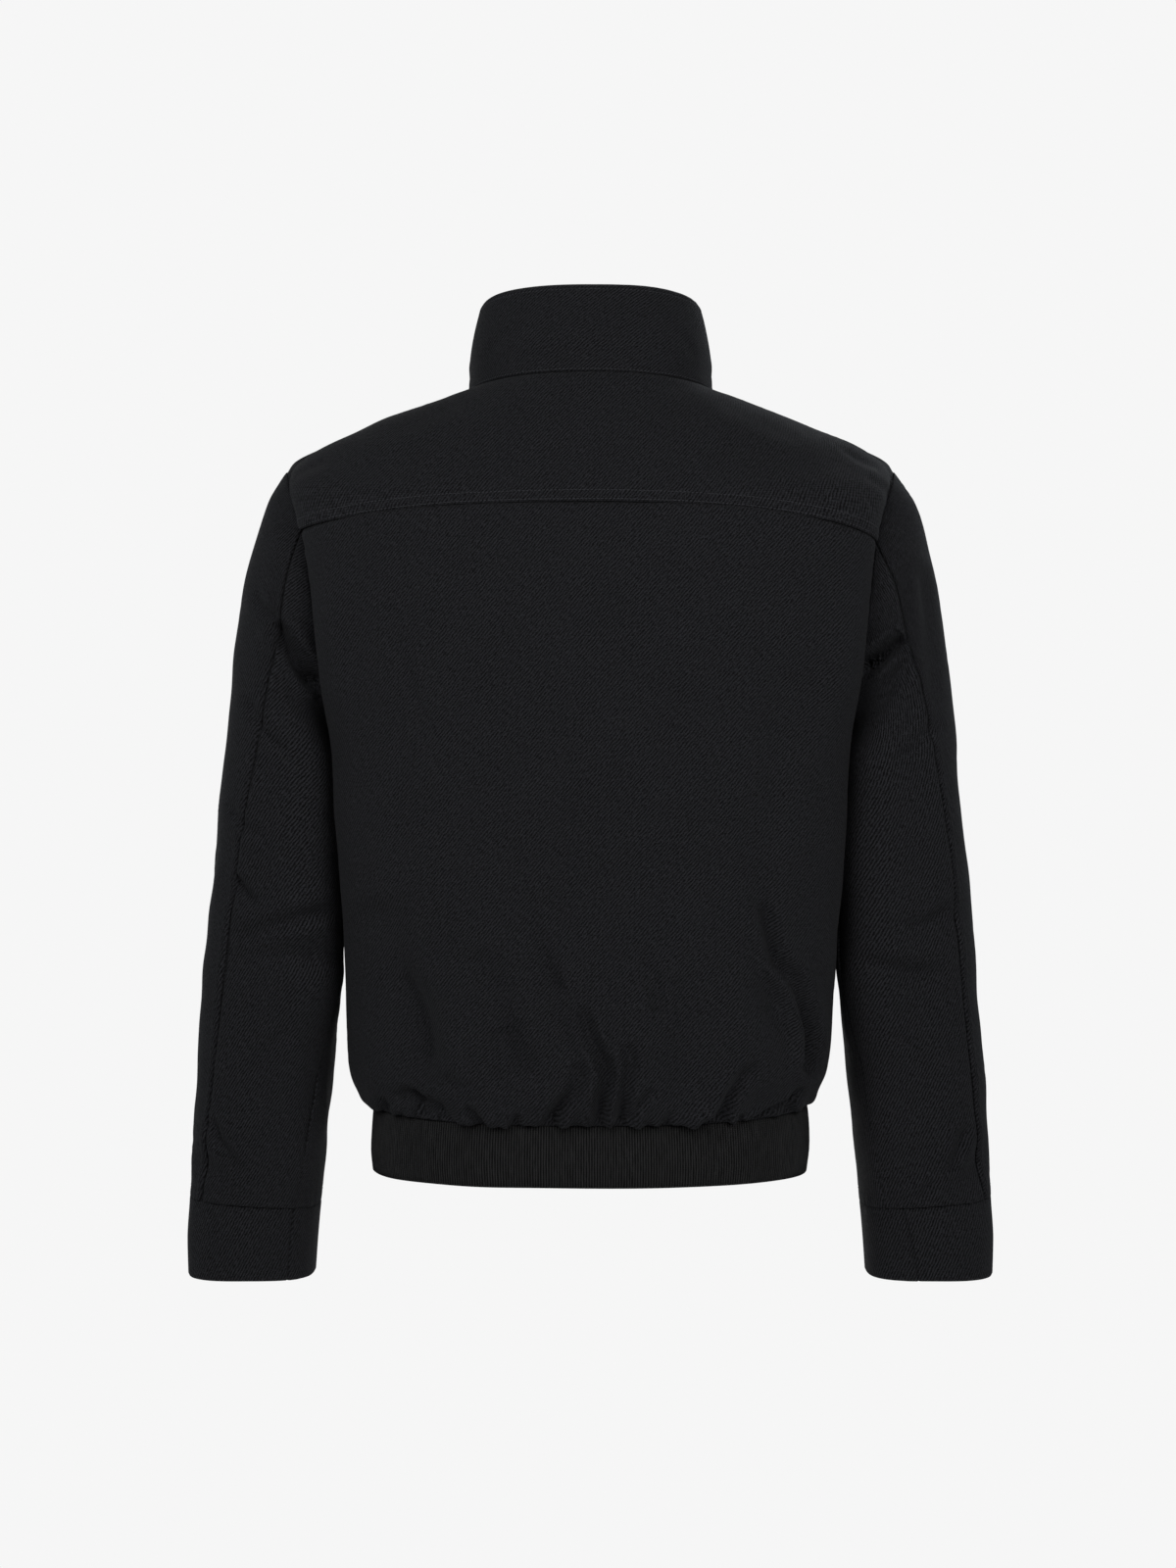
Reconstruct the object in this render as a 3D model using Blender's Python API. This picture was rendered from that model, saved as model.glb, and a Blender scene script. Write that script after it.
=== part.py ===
"""A work jacket: a short zipped blouson with a stand collar, a yoke, a rib hem and plain cuffs.

It keeps the hollow form that it has when it is worn. The front faces -Y, +Z is up and +X is
the wearer's left. The origin is the middle of the neck opening, level with the collar seam.
Every panel is a thin wall between two grids of points: a function gives the point of the
cloth's outer face for two coordinates, and the wall goes inward from it.
"""

import math

import bmesh
import bpy
from mathutils import Matrix, Vector

# Walls and gaps, in metres.
CLOTH = 0.0015
DOUBLED = 0.0024  # the collar and cuffs are two layers, and the rib is knitted thick
TAPE = 0.0010
SEAM_GAP = 0.00034  # between two pieces sewn together
ARMHOLE_GAP = 0.0009  # wider, because the walls turn towards each other over the shoulder

# The body, a row for each level from the hem seam (0) up to the collar seam (14).
# mid_y and mid_z are in the middle of the back or the front. The row ends at edge_x and
# edge_z on the side seam up to row 6, at armhole_turn on the armhole from row 6 to 11, and
# on the shoulder seam from 11 to 14. widest is the row's reach before its edge is pressed in
# under the arm, and square is the exponent of its superellipse.
BODY_COLUMNS = ("mid_y", "mid_z", "edge_x", "edge_z", "armhole_turn", "widest", "square")
BACK_ROWS = (
    (0.121, -0.565, 0.1700, -0.5590, 180, 0.1700, 2.6),
    (0.131, -0.553, 0.1780, -0.5490, 180, 0.1780, 2.6),
    (0.136, -0.530, 0.1850, -0.530, 180, 0.1860, 2.7),
    (0.136, -0.470, 0.1880, -0.475, 180, 0.1920, 2.9),
    (0.137, -0.390, 0.1860, -0.400, 180, 0.2020, 3.0),
    (0.139, -0.300, 0.1860, -0.310, 180, 0.2080, 3.1),
    (0.140, -0.262, 0.1965, -0.272, 180, 0.2090, 3.1),
    (0.139, -0.225, 0.1965, -0.272, 135, 0.2060, 2.9),
    (0.134, -0.165, 0.1965, -0.272, 92, 0.2105, 2.9),
    (0.124, -0.101, 0.1965, -0.272, 60, 0.2190, 2.8),
    (0.121, -0.088, 0.1965, -0.272, 22, 0.2310, 2.4),
    (0.116, -0.073, 0.2365, -0.0665, -16, 0.2365, 2.2),
    (0.106, -0.046, 0.1900, -0.0370, -16, 0.1900, 2.2),
    (0.095, -0.021, 0.1400, -0.0175, -16, 0.1400, 2.2),
    (0.085, 0.0010, 0.0955, -0.0030, -16, 0.0955, 2.3),
)
FRONT_ROWS = (
    (-0.121, -0.565, 0.1700, -0.5590, -180, 0.1700, 2.6),
    (-0.131, -0.553, 0.1780, -0.5490, -180, 0.1780, 2.6),
    (-0.136, -0.530, 0.1850, -0.530, -180, 0.1860, 2.7),
    (-0.138, -0.470, 0.1880, -0.475, -180, 0.1920, 2.9),
    (-0.141, -0.390, 0.1860, -0.400, -180, 0.2020, 3.0),
    (-0.143, -0.305, 0.1860, -0.310, -180, 0.2070, 3.0),
    (-0.142, -0.272, 0.1965, -0.272, -180, 0.2060, 3.0),
    (-0.140, -0.242, 0.1965, -0.272, -135, 0.2040, 2.9),
    (-0.134, -0.196, 0.1965, -0.272, -92, 0.2030, 2.8),
    (-0.124, -0.152, 0.1965, -0.272, -62, 0.2130, 2.5),
    (-0.119, -0.137, 0.1965, -0.272, -40, 0.2250, 2.3),
    (-0.115, -0.124, 0.2365, -0.0665, -16, 0.2365, 2.2),
    (-0.105, -0.104, 0.1900, -0.0370, -16, 0.1900, 2.2),
    (-0.096, -0.088, 0.1400, -0.0175, -16, 0.1400, 2.2),
    (-0.086, -0.074, 0.0955, -0.0030, -16, 0.0955, 2.2),
)
ARMPIT_ROW = 6
SHOULDER_ROW = 11
NECK_ROW = 14
SHOULDER_SEAM_Y = (-0.018, -0.024)  # at the armhole and at the collar
UNDERARM_REACH = 0.095  # how far from the edge of a row the arm presses it in
LEAST_UNDERARM_REACH = 0.020

# The yoke seam meets the armhole lower on the right than on the left.
YOKE_ROW = {"left": 9.0, "middle": 9.0, "right": 8.84}
YOKE_BEND = 1.5  # the power of the share across with which it goes from one to the other

# The armhole of the left side. turn 0 is the sleeve's outer side, 90 its back, 180 its
# inner side and -90 its front. The shoulder seam meets it at SHOULDER_TURN.
# Columns: turn, x, y, z.
ARMHOLE = (
    (-180, 0.1965, 0.000, -0.2720),
    (-135, 0.1970, -0.055, -0.2450),
    (-90, 0.2030, -0.080, -0.1780),
    (-45, 0.2235, -0.053, -0.0930),
    (-16, 0.2365, -0.018, -0.0665),
    (22, 0.2330, 0.030, -0.0775),
    (60, 0.2190, 0.068, -0.1190),
    (92, 0.2115, 0.077, -0.1740),
    (135, 0.2010, 0.053, -0.2440),
    (180, 0.1965, 0.000, -0.2720),
)
SHOULDER_TURN = -16.0

# The sleeve, a row for each section below the armhole. inner is next to the body.
# Columns: inner_x, inner_z, outer_x, outer_z, mid_y, half_depth, square.
SLEEVE_ROWS = (
    (0.2005, -0.2755, 0.2500, -0.086, 0.000, 0.0770, 2.2),
    (0.2015, -0.2815, 0.2650, -0.128, 0.001, 0.0765, 2.25),
    (0.2010, -0.2900, 0.2745, -0.182, 0.002, 0.0745, 2.35),
    (0.1995, -0.3030, 0.2805, -0.240, 0.002, 0.0715, 2.5),
    (0.1980, -0.3270, 0.2865, -0.300, 0.001, 0.0690, 2.65),
    (0.1965, -0.3800, 0.2945, -0.372, -0.002, 0.0665, 2.75),
    (0.1970, -0.4420, 0.3010, -0.438, -0.007, 0.0640, 2.75),
    (0.2020, -0.5200, 0.3080, -0.518, -0.013, 0.0600, 2.7),
    (0.2080, -0.5860, 0.3135, -0.586, -0.017, 0.0560, 2.65),
    (0.2140, -0.6420, 0.3165, -0.642, -0.020, 0.0510, 2.6),
)
CUFF_ROWS = (
    (0.2145, -0.6420, 0.3160, -0.642, -0.020, 0.0500, 2.6),
    (0.2170, -0.6700, 0.3180, -0.670, -0.021, 0.0480, 2.6),
    (0.2190, -0.6980, 0.3175, -0.698, -0.022, 0.0460, 2.6),
)
SLEEVE_DEGREE = 0.001  # a degree round the sleeve is about this long
# Where the two long seams of the sleeve run: turn 0 is its outer side, 90 its back and 180
# its inner side.
# Columns: row, back_turn, under_turn.
SLEEVE_SEAMS = {
    "left": (
        (0.0, 60.0, 180.0),
        (1.0, 75.0, 179.0),
        (2.0, 83.0, 178.0),
        (4.0, 75.0, 172.0),
        (6.0, 61.0, 158.0),
        (8.0, 53.0, 142.0),
        (10.0, 46.0, 130.0),
    ),
    "right": (
        (0.0, 60.0, 180.0),
        (1.0, 76.0, 179.0),
        (2.0, 80.0, 178.0),
        (4.0, 66.0, 172.0),
        (6.0, 53.5, 158.0),
        (8.0, 48.5, 142.0),
        (10.0, 38.0, 130.0),
    ),
}

# The collar's top edge: the collar seam is the body's last row.
COLLAR_TOP = {"back": (0.065, 0.0705), "front": (-0.079, -0.012), "side": (0.0875, -0.012, 0.057)}
COLLAR_SQUARE = {"back": 2.5, "front": 2.2}
COLLAR_LEVEL = 0.75  # below 1, its top edge stays high nearer to its corners
COLLAR_HEIGHT = 0.065
COLLAR_BACK_SHARE = 0.62  # how much of the collar's half lies behind the shoulder seam
COLLAR_BOW = 0.003  # how far it rounds out between its seam and its top edge
COLLAR_FLAT_SHARE = 0.2  # it is straighter in this share of its half, next to the zip

# The rib band at the hem, a row for each ring from the seam down.
# Columns: mid_z, side_z, half_width, half_depth.
HEM_ROWS = (
    (-0.5654, -0.5594, 0.1690, 0.1205),
    (-0.5740, -0.5700, 0.1700, 0.1225),
    (-0.5950, -0.5935, 0.1712, 0.1245),
    (-0.6110, -0.6100, 0.1698, 0.1235),
)
HEM_SQUARE = 2.6

# The zip, from the foot of the rib up to the top of the collar.
ZIP_OPENING = 0.0040  # from the middle to each front's edge
TAPE_REACH = 0.0110  # from the middle to the tape's outer edge
TAPE_RECESS = 0.0034  # the tape lies this far behind the cloth's outer face
TAPE_SPLIT = 0.0015  # half the gap between the tapes where the slider parts them

ZIP_FOOT = -0.5990
ZIP_TOP = -0.0125
SLIDER_Z = -0.0260
SLIDER_LENGTH = 0.0105
SLIDER_WIDTH = 0.0076
SLIDER_POST = 0.0018
PLATE = 0.0012
PLATE_OUT = 0.0010  # from the tape to the slider's front plate
BRIDGE_BAR = 0.0011
BRIDGE_WIDTH = 0.0020
BRIDGE_HALF_LENGTH = 0.0046
BRIDGE_CLEARANCE = 0.0004
PULL_AXIS_OUT = 0.0034  # from the tape to the pull's hinge
PULL_BAR = 0.0014  # the pull is this thick too
PULL_LENGTH = 0.0320
PULL_WIDTH = 0.0068
PULL_EYE_WIDTH = 0.0032
PULL_EYE_LENGTH = 0.0062
PULL_END_STEPS = 6
BOX_Z = -0.6045
BOX_WIDTH = 0.0074
BOX_DEPTH = 0.0036
BOX_LENGTH = 0.0095
STOP_Z = -0.0165
STOP_INNER = 0.0018
STOP_OUTER = 0.0034
STOP_DEPTH = 0.0014
STOP_LENGTH = 0.0030

# Large folds. On the body a fold runs from one (x, z) to another, with its middle moved
# sideways by bow, and stands out by height, or goes in where height is negative.
FOLD_REACH = 0.62  # a fold dies away at this share of its length from its middle
FLAT_SHARE = 0.10  # they fade out in this share of a panel next to its side seams
FLAT_ROWS = 0.9  # and in these rows next to the hem seam
# Columns: from_x, from_z, to_x, to_z, bow, width, height.
BACK_FOLDS = (
    (-0.128, -0.400, -0.170, -0.530, 0.010, 0.020, -0.0070),
    (-0.098, -0.440, -0.146, -0.540, 0.008, 0.020, 0.0050),
    (0.152, -0.440, 0.122, -0.530, -0.006, 0.022, -0.0045),
    (0.040, -0.430, -0.010, -0.540, 0.012, 0.022, -0.0035),
    (0.196, -0.150, 0.150, -0.330, 0.014, 0.026, 0.0040),
    (-0.196, -0.150, -0.150, -0.330, -0.014, 0.026, 0.0040),
)
FRONT_FOLDS = (
    (0.100, -0.430, 0.130, -0.540, 0.008, 0.022, -0.0045),
    (-0.090, -0.420, -0.126, -0.540, -0.008, 0.022, -0.0045),
    (0.150, -0.200, 0.110, -0.330, 0.010, 0.026, -0.0035),
    (-0.154, -0.196, -0.108, -0.340, -0.010, 0.026, -0.0035),
)
# On a sleeve a fold runs from one (turn, z) to another, and its width is along the sleeve.
# Columns: from_turn, from_z, to_turn, to_z, width, height.
SLEEVE_FOLDS = {
    "left": (
        (66.0, -0.190, 130.0, -0.262, 0.016, -0.0090),
        (-120.0, -0.262, -62.0, -0.190, 0.016, -0.0050),
        (40.0, -0.380, 92.0, -0.405, 0.018, -0.0050),
        (60.0, -0.452, 140.0, -0.418, 0.020, -0.0045),
        (20.0, -0.590, 80.0, -0.625, 0.018, -0.0035),
        (-100.0, -0.420, -30.0, -0.400, 0.020, -0.0045),
    ),
    "right": (
        (66.0, -0.205, 130.0, -0.255, 0.016, -0.0085),
        (-120.0, -0.262, -62.0, -0.186, 0.016, -0.0050),
        (36.0, -0.402, 96.0, -0.426, 0.020, -0.0040),
        (50.0, -0.470, 130.0, -0.455, 0.020, -0.0040),
        (30.0, -0.592, 70.0, -0.630, 0.018, -0.0035),
        (-110.0, -0.440, -36.0, -0.410, 0.020, -0.0045),
    ),
}

# How finely the walls are divided. Pieces that meet share their seam's points.
BACK_SHARES_PER_SIDE = 10
FRONT_SHARES = 8
SIDE_SEAM_STEPS = 11
ARMHOLE_STEPS = 6  # up the back armhole to the yoke seam
YOKE_ARMHOLE_STEPS = 4  # on to the shoulder seam
SHOULDER_STEPS = 4
SLEEVE_STEPS_DOWN = 17
COLLAR_STEPS_UP = 3
CUFF_STEPS_ROUND = 24

SIDES = {"left": 1.0, "right": -1.0}
# Steps in a surface's two coordinates, for slopes taken between near points.
HALVINGS = 24
LEAST_TURN = 8.0  # between two columns of a sleeve at the armhole
PANEL_SPACING = (0.004, 0.02)
TUBE_SPACING = (1.0, 0.02)
BAND_SPACING = (0.002, 0.02)
EDGE_SHARE = 0.98  # a panel's scale at its edge is taken here
INSIDE = 0.05  # a row's scale at a seam is taken this far inside it


# Curves through the rows of a table.


def through(rows, at):
    """A row's values at a place between the rows, on a smooth curve that never overshoots."""
    last = len(rows) - 1
    at = min(max(at, 0.0), float(last))
    low = min(int(at), last - 1)
    t = at - low
    values = []
    for column in range(len(rows[0])):
        heights = [row[column] for row in rows]
        rise = heights[low + 1] - heights[low]
        before = heights[low] - heights[low - 1] if low > 0 else rise
        after = heights[low + 2] - heights[low + 1] if low + 2 <= last else rise
        start = slope_between(before, rise)
        end = slope_between(rise, after)
        values.append(
            heights[low] * (1 + 2 * t) * (1 - t) ** 2
            + start * t * (1 - t) ** 2
            + heights[low + 1] * t * t * (3 - 2 * t)
            + end * t * t * (t - 1)
        )
    return values


def slope_between(before, after):
    """The slope at a row that keeps the curve from swinging past it."""
    if before * after <= 0:
        return 0.0
    return 2 * before * after / (before + after)


def at_place(rows, place):
    """The values of a table whose first column is the place itself."""
    low = max(i for i, row in enumerate(rows[:-1]) if row[0] <= place or i == 0)
    t = (place - rows[low][0]) / (rows[low + 1][0] - rows[low][0])
    return through([row[1:] for row in rows], low + min(max(t, 0.0), 1.0))


def armhole(turn):
    """A point (x, y, z) of the left side's armhole. Its ends join, so rows are added to each."""
    before = (ARMHOLE[-2][0] - 360, *ARMHOLE[-2][1:])
    after = (ARMHOLE[1][0] + 360, *ARMHOLE[1][1:])
    return at_place((before, *ARMHOLE, after), (turn + 180) % 360 - 180)


def superellipse(share, square):
    """(across, along) of the point at that share of a quarter's length, from (0, 1) to (1, 0)."""
    bend = square / 2
    even = share**bend / (share**bend + (1 - share) ** bend)
    angle = even * math.pi / 2
    return math.sin(angle) ** (2 / square), math.cos(angle) ** (2 / square)


def share_across(across, square):
    """The share of a quarter's length at which superellipse() is that far across."""
    bend = square / 2
    even = math.asin(across**bend) / (math.pi / 2)
    ahead = even ** (1 / bend)
    return ahead / (ahead + (1 - even) ** (1 / bend))


def smooth(t):
    t = min(max(t, 0.0), 1.0)
    return t * t * (3 - 2 * t)


# The cloth's outer faces.


def row_edge(row, edge_x, edge_z, turn):
    """The point (x, y, z) at which a row of the body ends on the left."""
    if row <= ARMPIT_ROW:
        return edge_x, 0.0, edge_z
    if row <= SHOULDER_ROW:
        return armhole(turn)
    start, end = SHOULDER_SEAM_Y
    share = (row - SHOULDER_ROW) / (NECK_ROW - SHOULDER_ROW)
    return edge_x, start + (end - start) * share, edge_z


def body_point(face, across, row):
    """A point of the body. across is 0 in the middle, 1 on the left edge, -1 on the right."""
    rows = BACK_ROWS if face == "back" else FRONT_ROWS
    mid_y, mid_z, side_x, side_z, turn, widest, square = through(rows, row)
    edge_x, edge_y, edge_z = row_edge(row, side_x, side_z, turn)
    out, along = superellipse(min(abs(across), 1.0), square)
    y = edge_y + (mid_y - edge_y) * along
    reach = max(UNDERARM_REACH - abs(edge_y), LEAST_UNDERARM_REACH)
    near_edge = 1 - smooth(abs(y - edge_y) / reach)
    x = widest * out - (widest - edge_x) * near_edge
    z = mid_z + (edge_z - mid_z) * (1 - along * along)
    return Vector((math.copysign(x, across), y, z))


def normal_of(surface, a, b, spacing):
    """The normal of a surface at its coordinates a and b, from points that far on either side."""
    da, db = spacing
    across = surface(a + da, b) - surface(a - da, b)
    up = surface(a, b + db) - surface(a, b - db)
    return across.cross(up).normalized()


def crest(distance, width):
    """The height of a fold's section, 1 on its line and 0 from width away."""
    return 1 - smooth(abs(distance) / width)


def fold_relief(folds, first, second, stretch=1.0):
    """How far the folds move a point whose two coordinates are given."""
    relief = 0.0
    for from_a, from_b, to_a, to_b, bow, width, height in folds:
        run = Vector(((to_a - from_a) * stretch, to_b - from_b))
        place = Vector(((first - from_a) * stretch, second - from_b))
        along = place.dot(run) / run.length_squared
        aside = place.cross(run) / run.length + bow * math.sin(math.pi * min(max(along, 0), 1))
        relief += height * crest(aside, width) * crest(along - 0.5, FOLD_REACH)
    return relief


def body_surface(face, folds):
    turn = -1.0 if face == "back" else 1.0

    def base(across, row):
        return body_point(face, across, row)

    def folded(across, row):
        point = base(across, row)
        relief = fold_relief(folds, point.x, point.z)
        relief *= smooth((1 - abs(across)) / FLAT_SHARE) * smooth(row / FLAT_ROWS)
        if relief:
            point += relief * turn * normal_of(base, across, row, PANEL_SPACING)
        return point

    return folded


def ring_point(row, turn):
    """A point of one section of the left sleeve, from its row of the table."""
    inner_x, inner_z, outer_x, outer_z, mid_y, half_depth, square = row
    out, back = math.cos(math.radians(turn)), math.sin(math.radians(turn))
    reach = (abs(out) ** square + abs(back) ** square) ** (-1 / square)
    share = (1 + out * reach) / 2
    return (
        inner_x + (outer_x - inner_x) * share,
        mid_y + half_depth * back * reach,
        inner_z + (outer_z - inner_z) * share,
    )


def sleeve_point(side, turn, row):
    """A point of a sleeve: row 0 is the armhole and the last row is the cuff seam."""
    points = [armhole(turn)] + [ring_point(section, turn) for section in SLEEVE_ROWS]
    x, y, z = through(points, row)
    return Vector((SIDES[side] * x, y, z))


def sleeve_surface(side):
    folds = [(a, b, c, d, 0.0, e, f) for a, b, c, d, e, f in SLEEVE_FOLDS[side]]

    def base(turn, row):
        return sleeve_point(side, turn, row)

    def folded(turn, row):
        point = base(turn, row)
        near = (turn + 180) % 360 - 180
        relief = fold_relief(folds, near, point.z, stretch=SLEEVE_DEGREE)
        if relief:
            point -= relief * SIDES[side] * normal_of(base, turn, row, TUBE_SPACING)
        return point

    return folded


def cuff_surface(side):
    def surface(turn, row):
        x, y, z = through([ring_point(section, turn) for section in CUFF_ROWS], row)
        return Vector((SIDES[side] * x, y, z))

    return surface


def band_face(along):
    """(face, across) for a place along a band that goes round the back, from -1 to 1."""
    if abs(along) <= 0.5:
        return "back", along * 2
    return "front", math.copysign(2 * (1 - abs(along)), along)


def hem_surface(along, row):
    mid_z, side_z, half_width, half_depth = through(HEM_ROWS, row)
    face, across = band_face(along)
    out, back = superellipse(abs(across), HEM_SQUARE)
    y = half_depth * back * (1 if face == "back" else -1)
    z = mid_z + (side_z - mid_z) * (1 - back * back)
    return Vector((math.copysign(half_width * out, along), y, z))


def collar_place(along):
    """(face, across) for a place round the collar, from -1 to 1 at the zip."""
    if abs(along) <= COLLAR_BACK_SHARE:
        return "back", along / COLLAR_BACK_SHARE
    return "front", math.copysign((1 - abs(along)) / (1 - COLLAR_BACK_SHARE), along)


def collar_surface(along, up):
    """A point of the collar: up is 0 at its seam and 1 at its top edge."""
    face, across = collar_place(along)
    foot = body_point(face, across, NECK_ROW)
    mid_y, mid_z = COLLAR_TOP[face]
    edge_x, edge_y, edge_z = COLLAR_TOP["side"]
    out, back = superellipse(abs(across), COLLAR_SQUARE[face])
    top = Vector(
        (
            math.copysign(edge_x * out, along),
            edge_y + (mid_y - edge_y) * back,
            mid_z + (edge_z - mid_z) * (1 - back**COLLAR_LEVEL),
        )
    )
    stand = foot.lerp(top, up)
    outward = Vector((foot.x, foot.y, 0)).normalized()
    bow = COLLAR_BOW * smooth((1 - abs(along)) / COLLAR_FLAT_SHARE)
    return stand + outward * bow * math.sin(math.pi * up)


# Meshes.


def wall(name, surface, grid, thickness, material, spacing, closed=False, flip=False):
    """A thin solid: the surface's points at a grid of coordinates, and as many inside it.

    grid is a list of rows of (a, b), each row going across. closed joins each row's ends.
    flip is set where the surface's own normal points inward.
    """
    mesh = bmesh.new()
    outer, inner = [], []
    for row in grid:
        outer.append([])
        inner.append([])
        for a, b in row:
            point = surface(a, b)
            inward = normal_of(surface, a, b, spacing) * (1 if flip else -1)
            outer[-1].append(mesh.verts.new(point))
            inner[-1].append(mesh.verts.new(point + inward * thickness))
    count = len(grid[0])
    across = range(count if closed else count - 1)
    for low in range(len(grid) - 1):
        high = low + 1
        for i in across:
            j = (i + 1) % count
            mesh.faces.new((outer[low][i], outer[low][j], outer[high][j], outer[high][i]))
            mesh.faces.new((inner[low][i], inner[high][i], inner[high][j], inner[low][j]))
        for i in () if closed else (0, count - 1):
            mesh.faces.new((outer[low][i], outer[high][i], inner[high][i], inner[low][i]))
    for row in (0, len(grid) - 1):
        for i in across:
            j = (i + 1) % count
            mesh.faces.new((outer[row][i], outer[row][j], inner[row][j], inner[row][i]))
    bmesh.ops.recalc_face_normals(mesh, faces=mesh.faces)
    return finished(name, mesh, material)


def finished(name, mesh, material):
    """The object made from a bmesh."""
    data = bpy.data.meshes.new(name)
    mesh.to_mesh(data)
    mesh.free()
    data.materials.append(material)
    data.shade_smooth()
    data.set_sharp_from_angle(angle=math.radians(40))
    made = bpy.data.objects.new(name, data)
    bpy.context.collection.objects.link(made)
    return made


def between(start, end, count):
    return [start + (end - start) * i / count for i in range(count + 1)]


def paint(name, colour, roughness, metallic=0.0):
    material = bpy.data.materials.new(name)
    material.use_nodes = True
    shader = material.node_tree.nodes["Principled BSDF"]
    shader.inputs["Base Color"].default_value = (*colour, 1.0)
    shader.inputs["Roughness"].default_value = roughness
    shader.inputs["Metallic"].default_value = metallic
    return material


def share_for(surface, a, b, length, spacing):
    """How much of coordinate a covers that length of cloth at (a, b)."""
    near = surface(a - spacing[0], b)
    far = surface(a + spacing[0], b)
    return 2 * spacing[0] * length / max((far - near).length, 1e-9)


def rows_for(surface, a, b, length, spacing):
    """How much of coordinate b covers that length of cloth at (a, b)."""
    near = surface(a, b - spacing[1])
    far = surface(a, b + spacing[1])
    return 2 * spacing[1] * length / max((far - near).length, 1e-9)


# The pieces of the body.


def yoke_row(across):
    """The row of the body at which the yoke seam runs."""
    end = YOKE_ROW["left" if across > 0 else "right"]
    return YOKE_ROW["middle"] + (end - YOKE_ROW["middle"]) * abs(across) ** YOKE_BEND


def levels(across):
    """The body's rows at which the walls are divided, where the yoke seam is at its own row."""
    yoke = yoke_row(across)
    found = between(0.0, ARMPIT_ROW, SIDE_SEAM_STEPS)
    found += between(ARMPIT_ROW, yoke, ARMHOLE_STEPS)[1:]
    found += between(yoke, SHOULDER_ROW, YOKE_ARMHOLE_STEPS)[1:]
    found += between(SHOULDER_ROW, NECK_ROW, SHOULDER_STEPS)[1:]
    return found


def kept_share(surface, row):
    """The share across at which a body panel ends, half a gap short of its seam."""
    gap = ARMHOLE_GAP if ARMPIT_ROW < row < SHOULDER_ROW else SEAM_GAP
    return 1 - share_for(surface, EDGE_SHARE, row, gap / 2, PANEL_SPACING)


def front_shares(width, square):
    """The shares across a front at which its wall is divided, from the zip to its edge."""
    return between(share_across(ZIP_OPENING / width, square), 1.0, FRONT_SHARES)


def back_and_yoke(twill):
    surface = body_surface("back", BACK_FOLDS)
    shares = between(-1.0, 1.0, 2 * BACK_SHARES_PER_SIDE)
    seam = SIDE_SEAM_STEPS + ARMHOLE_STEPS
    last = seam + YOKE_ARMHOLE_STEPS + SHOULDER_STEPS
    for name, start, end in (("back_panel", 0, seam), ("yoke", seam, last)):
        grid = []
        for number in range(start, end + 1):
            line = []
            for share in shares:
                row = levels(share)[number]
                if number == start:
                    row += rows_for(surface, share, row + INSIDE, SEAM_GAP / 2, PANEL_SPACING)
                if number == end:
                    row -= rows_for(surface, share, row - INSIDE, SEAM_GAP / 2, PANEL_SPACING)
                kept = kept_share(surface, row)
                line.append((min(max(share, -kept), kept), row))
            grid.append(line)
        wall(name, surface, grid, CLOTH, twill, PANEL_SPACING, flip=True)


def front(side, twill):
    surface = body_surface("front", FRONT_FOLDS)
    grid = []
    for row in levels(SIDES[side]):
        inset = rows_for(surface, SIDES[side] / 2, row, SEAM_GAP / 2, PANEL_SPACING)
        row = min(max(row, inset), NECK_ROW - inset)
        _, _, _, _, _, widest, square = through(FRONT_ROWS, row)
        kept = kept_share(surface, row)
        shares = front_shares(widest, square)
        grid.append([(SIDES[side] * min(share, kept), row) for share in shares])
    wall(f"front_{side}", surface, grid, CLOTH, twill, PANEL_SPACING)


def collar(twill):
    foot_width = BACK_ROWS[NECK_ROW][BODY_COLUMNS.index("widest")]
    back = between(-COLLAR_BACK_SHARE, COLLAR_BACK_SHARE, 2 * BACK_SHARES_PER_SIDE)
    grid = []
    for up in collar_levels():
        width = foot_width + (COLLAR_TOP["side"][0] - foot_width) * up
        shares = front_shares(width, COLLAR_SQUARE["front"])[:-1]
        front_part = [1 - share * (1 - COLLAR_BACK_SHARE) for share in shares]
        places = [-place for place in front_part] + back + front_part[::-1]
        up = max(up, SEAM_GAP / 2 / COLLAR_HEIGHT)
        grid.append([(place, up) for place in places])
    wall("collar", collar_surface, grid, DOUBLED, twill, BAND_SPACING, flip=True)


def collar_levels():
    return between(0.0, 1.0, COLLAR_STEPS_UP)


def hem_band(rib):
    back = between(-0.5, 0.5, 2 * BACK_SHARES_PER_SIDE)
    shares = front_shares(HEM_ROWS[0][2], HEM_SQUARE)[:-1]
    front_part = [1 - share / 2 for share in shares]
    places = [-place for place in front_part] + back + front_part[::-1]
    grid = [[(place, float(row)) for place in places] for row in range(len(HEM_ROWS))]
    wall("hem_band", hem_surface, grid, DOUBLED, rib, BAND_SPACING)


# The sleeves and cuffs.


def seam_turns(side, row):
    """(turn of the back seam, turn of the underarm seam) at that row of the sleeve. The back
    seam starts where the yoke seam meets the armhole."""
    table = SLEEVE_SEAMS[side]
    back, under = at_place(table, row)
    start = through(BACK_ROWS, yoke_row(SIDES[side]))[BODY_COLUMNS.index("armhole_turn")]
    back += (start - table[0][1]) * (1 - smooth(row / table[1][0]))
    return back, under


def armhole_turns(side):
    """The turns at which the body's levels meet the armhole, from the underarm seam, round
    the front and the top, to the back seam and on to the underarm seam."""
    turn_column = BODY_COLUMNS.index("armhole_turn")
    rows = [row for row in levels(SIDES[side]) if ARMPIT_ROW <= row <= SHOULDER_ROW]
    front_turns = [through(FRONT_ROWS, row)[turn_column] for row in rows]
    back_turns = [through(BACK_ROWS, row)[turn_column] for row in rows]
    return spread_out(front_turns + back_turns[-2::-1])


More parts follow.
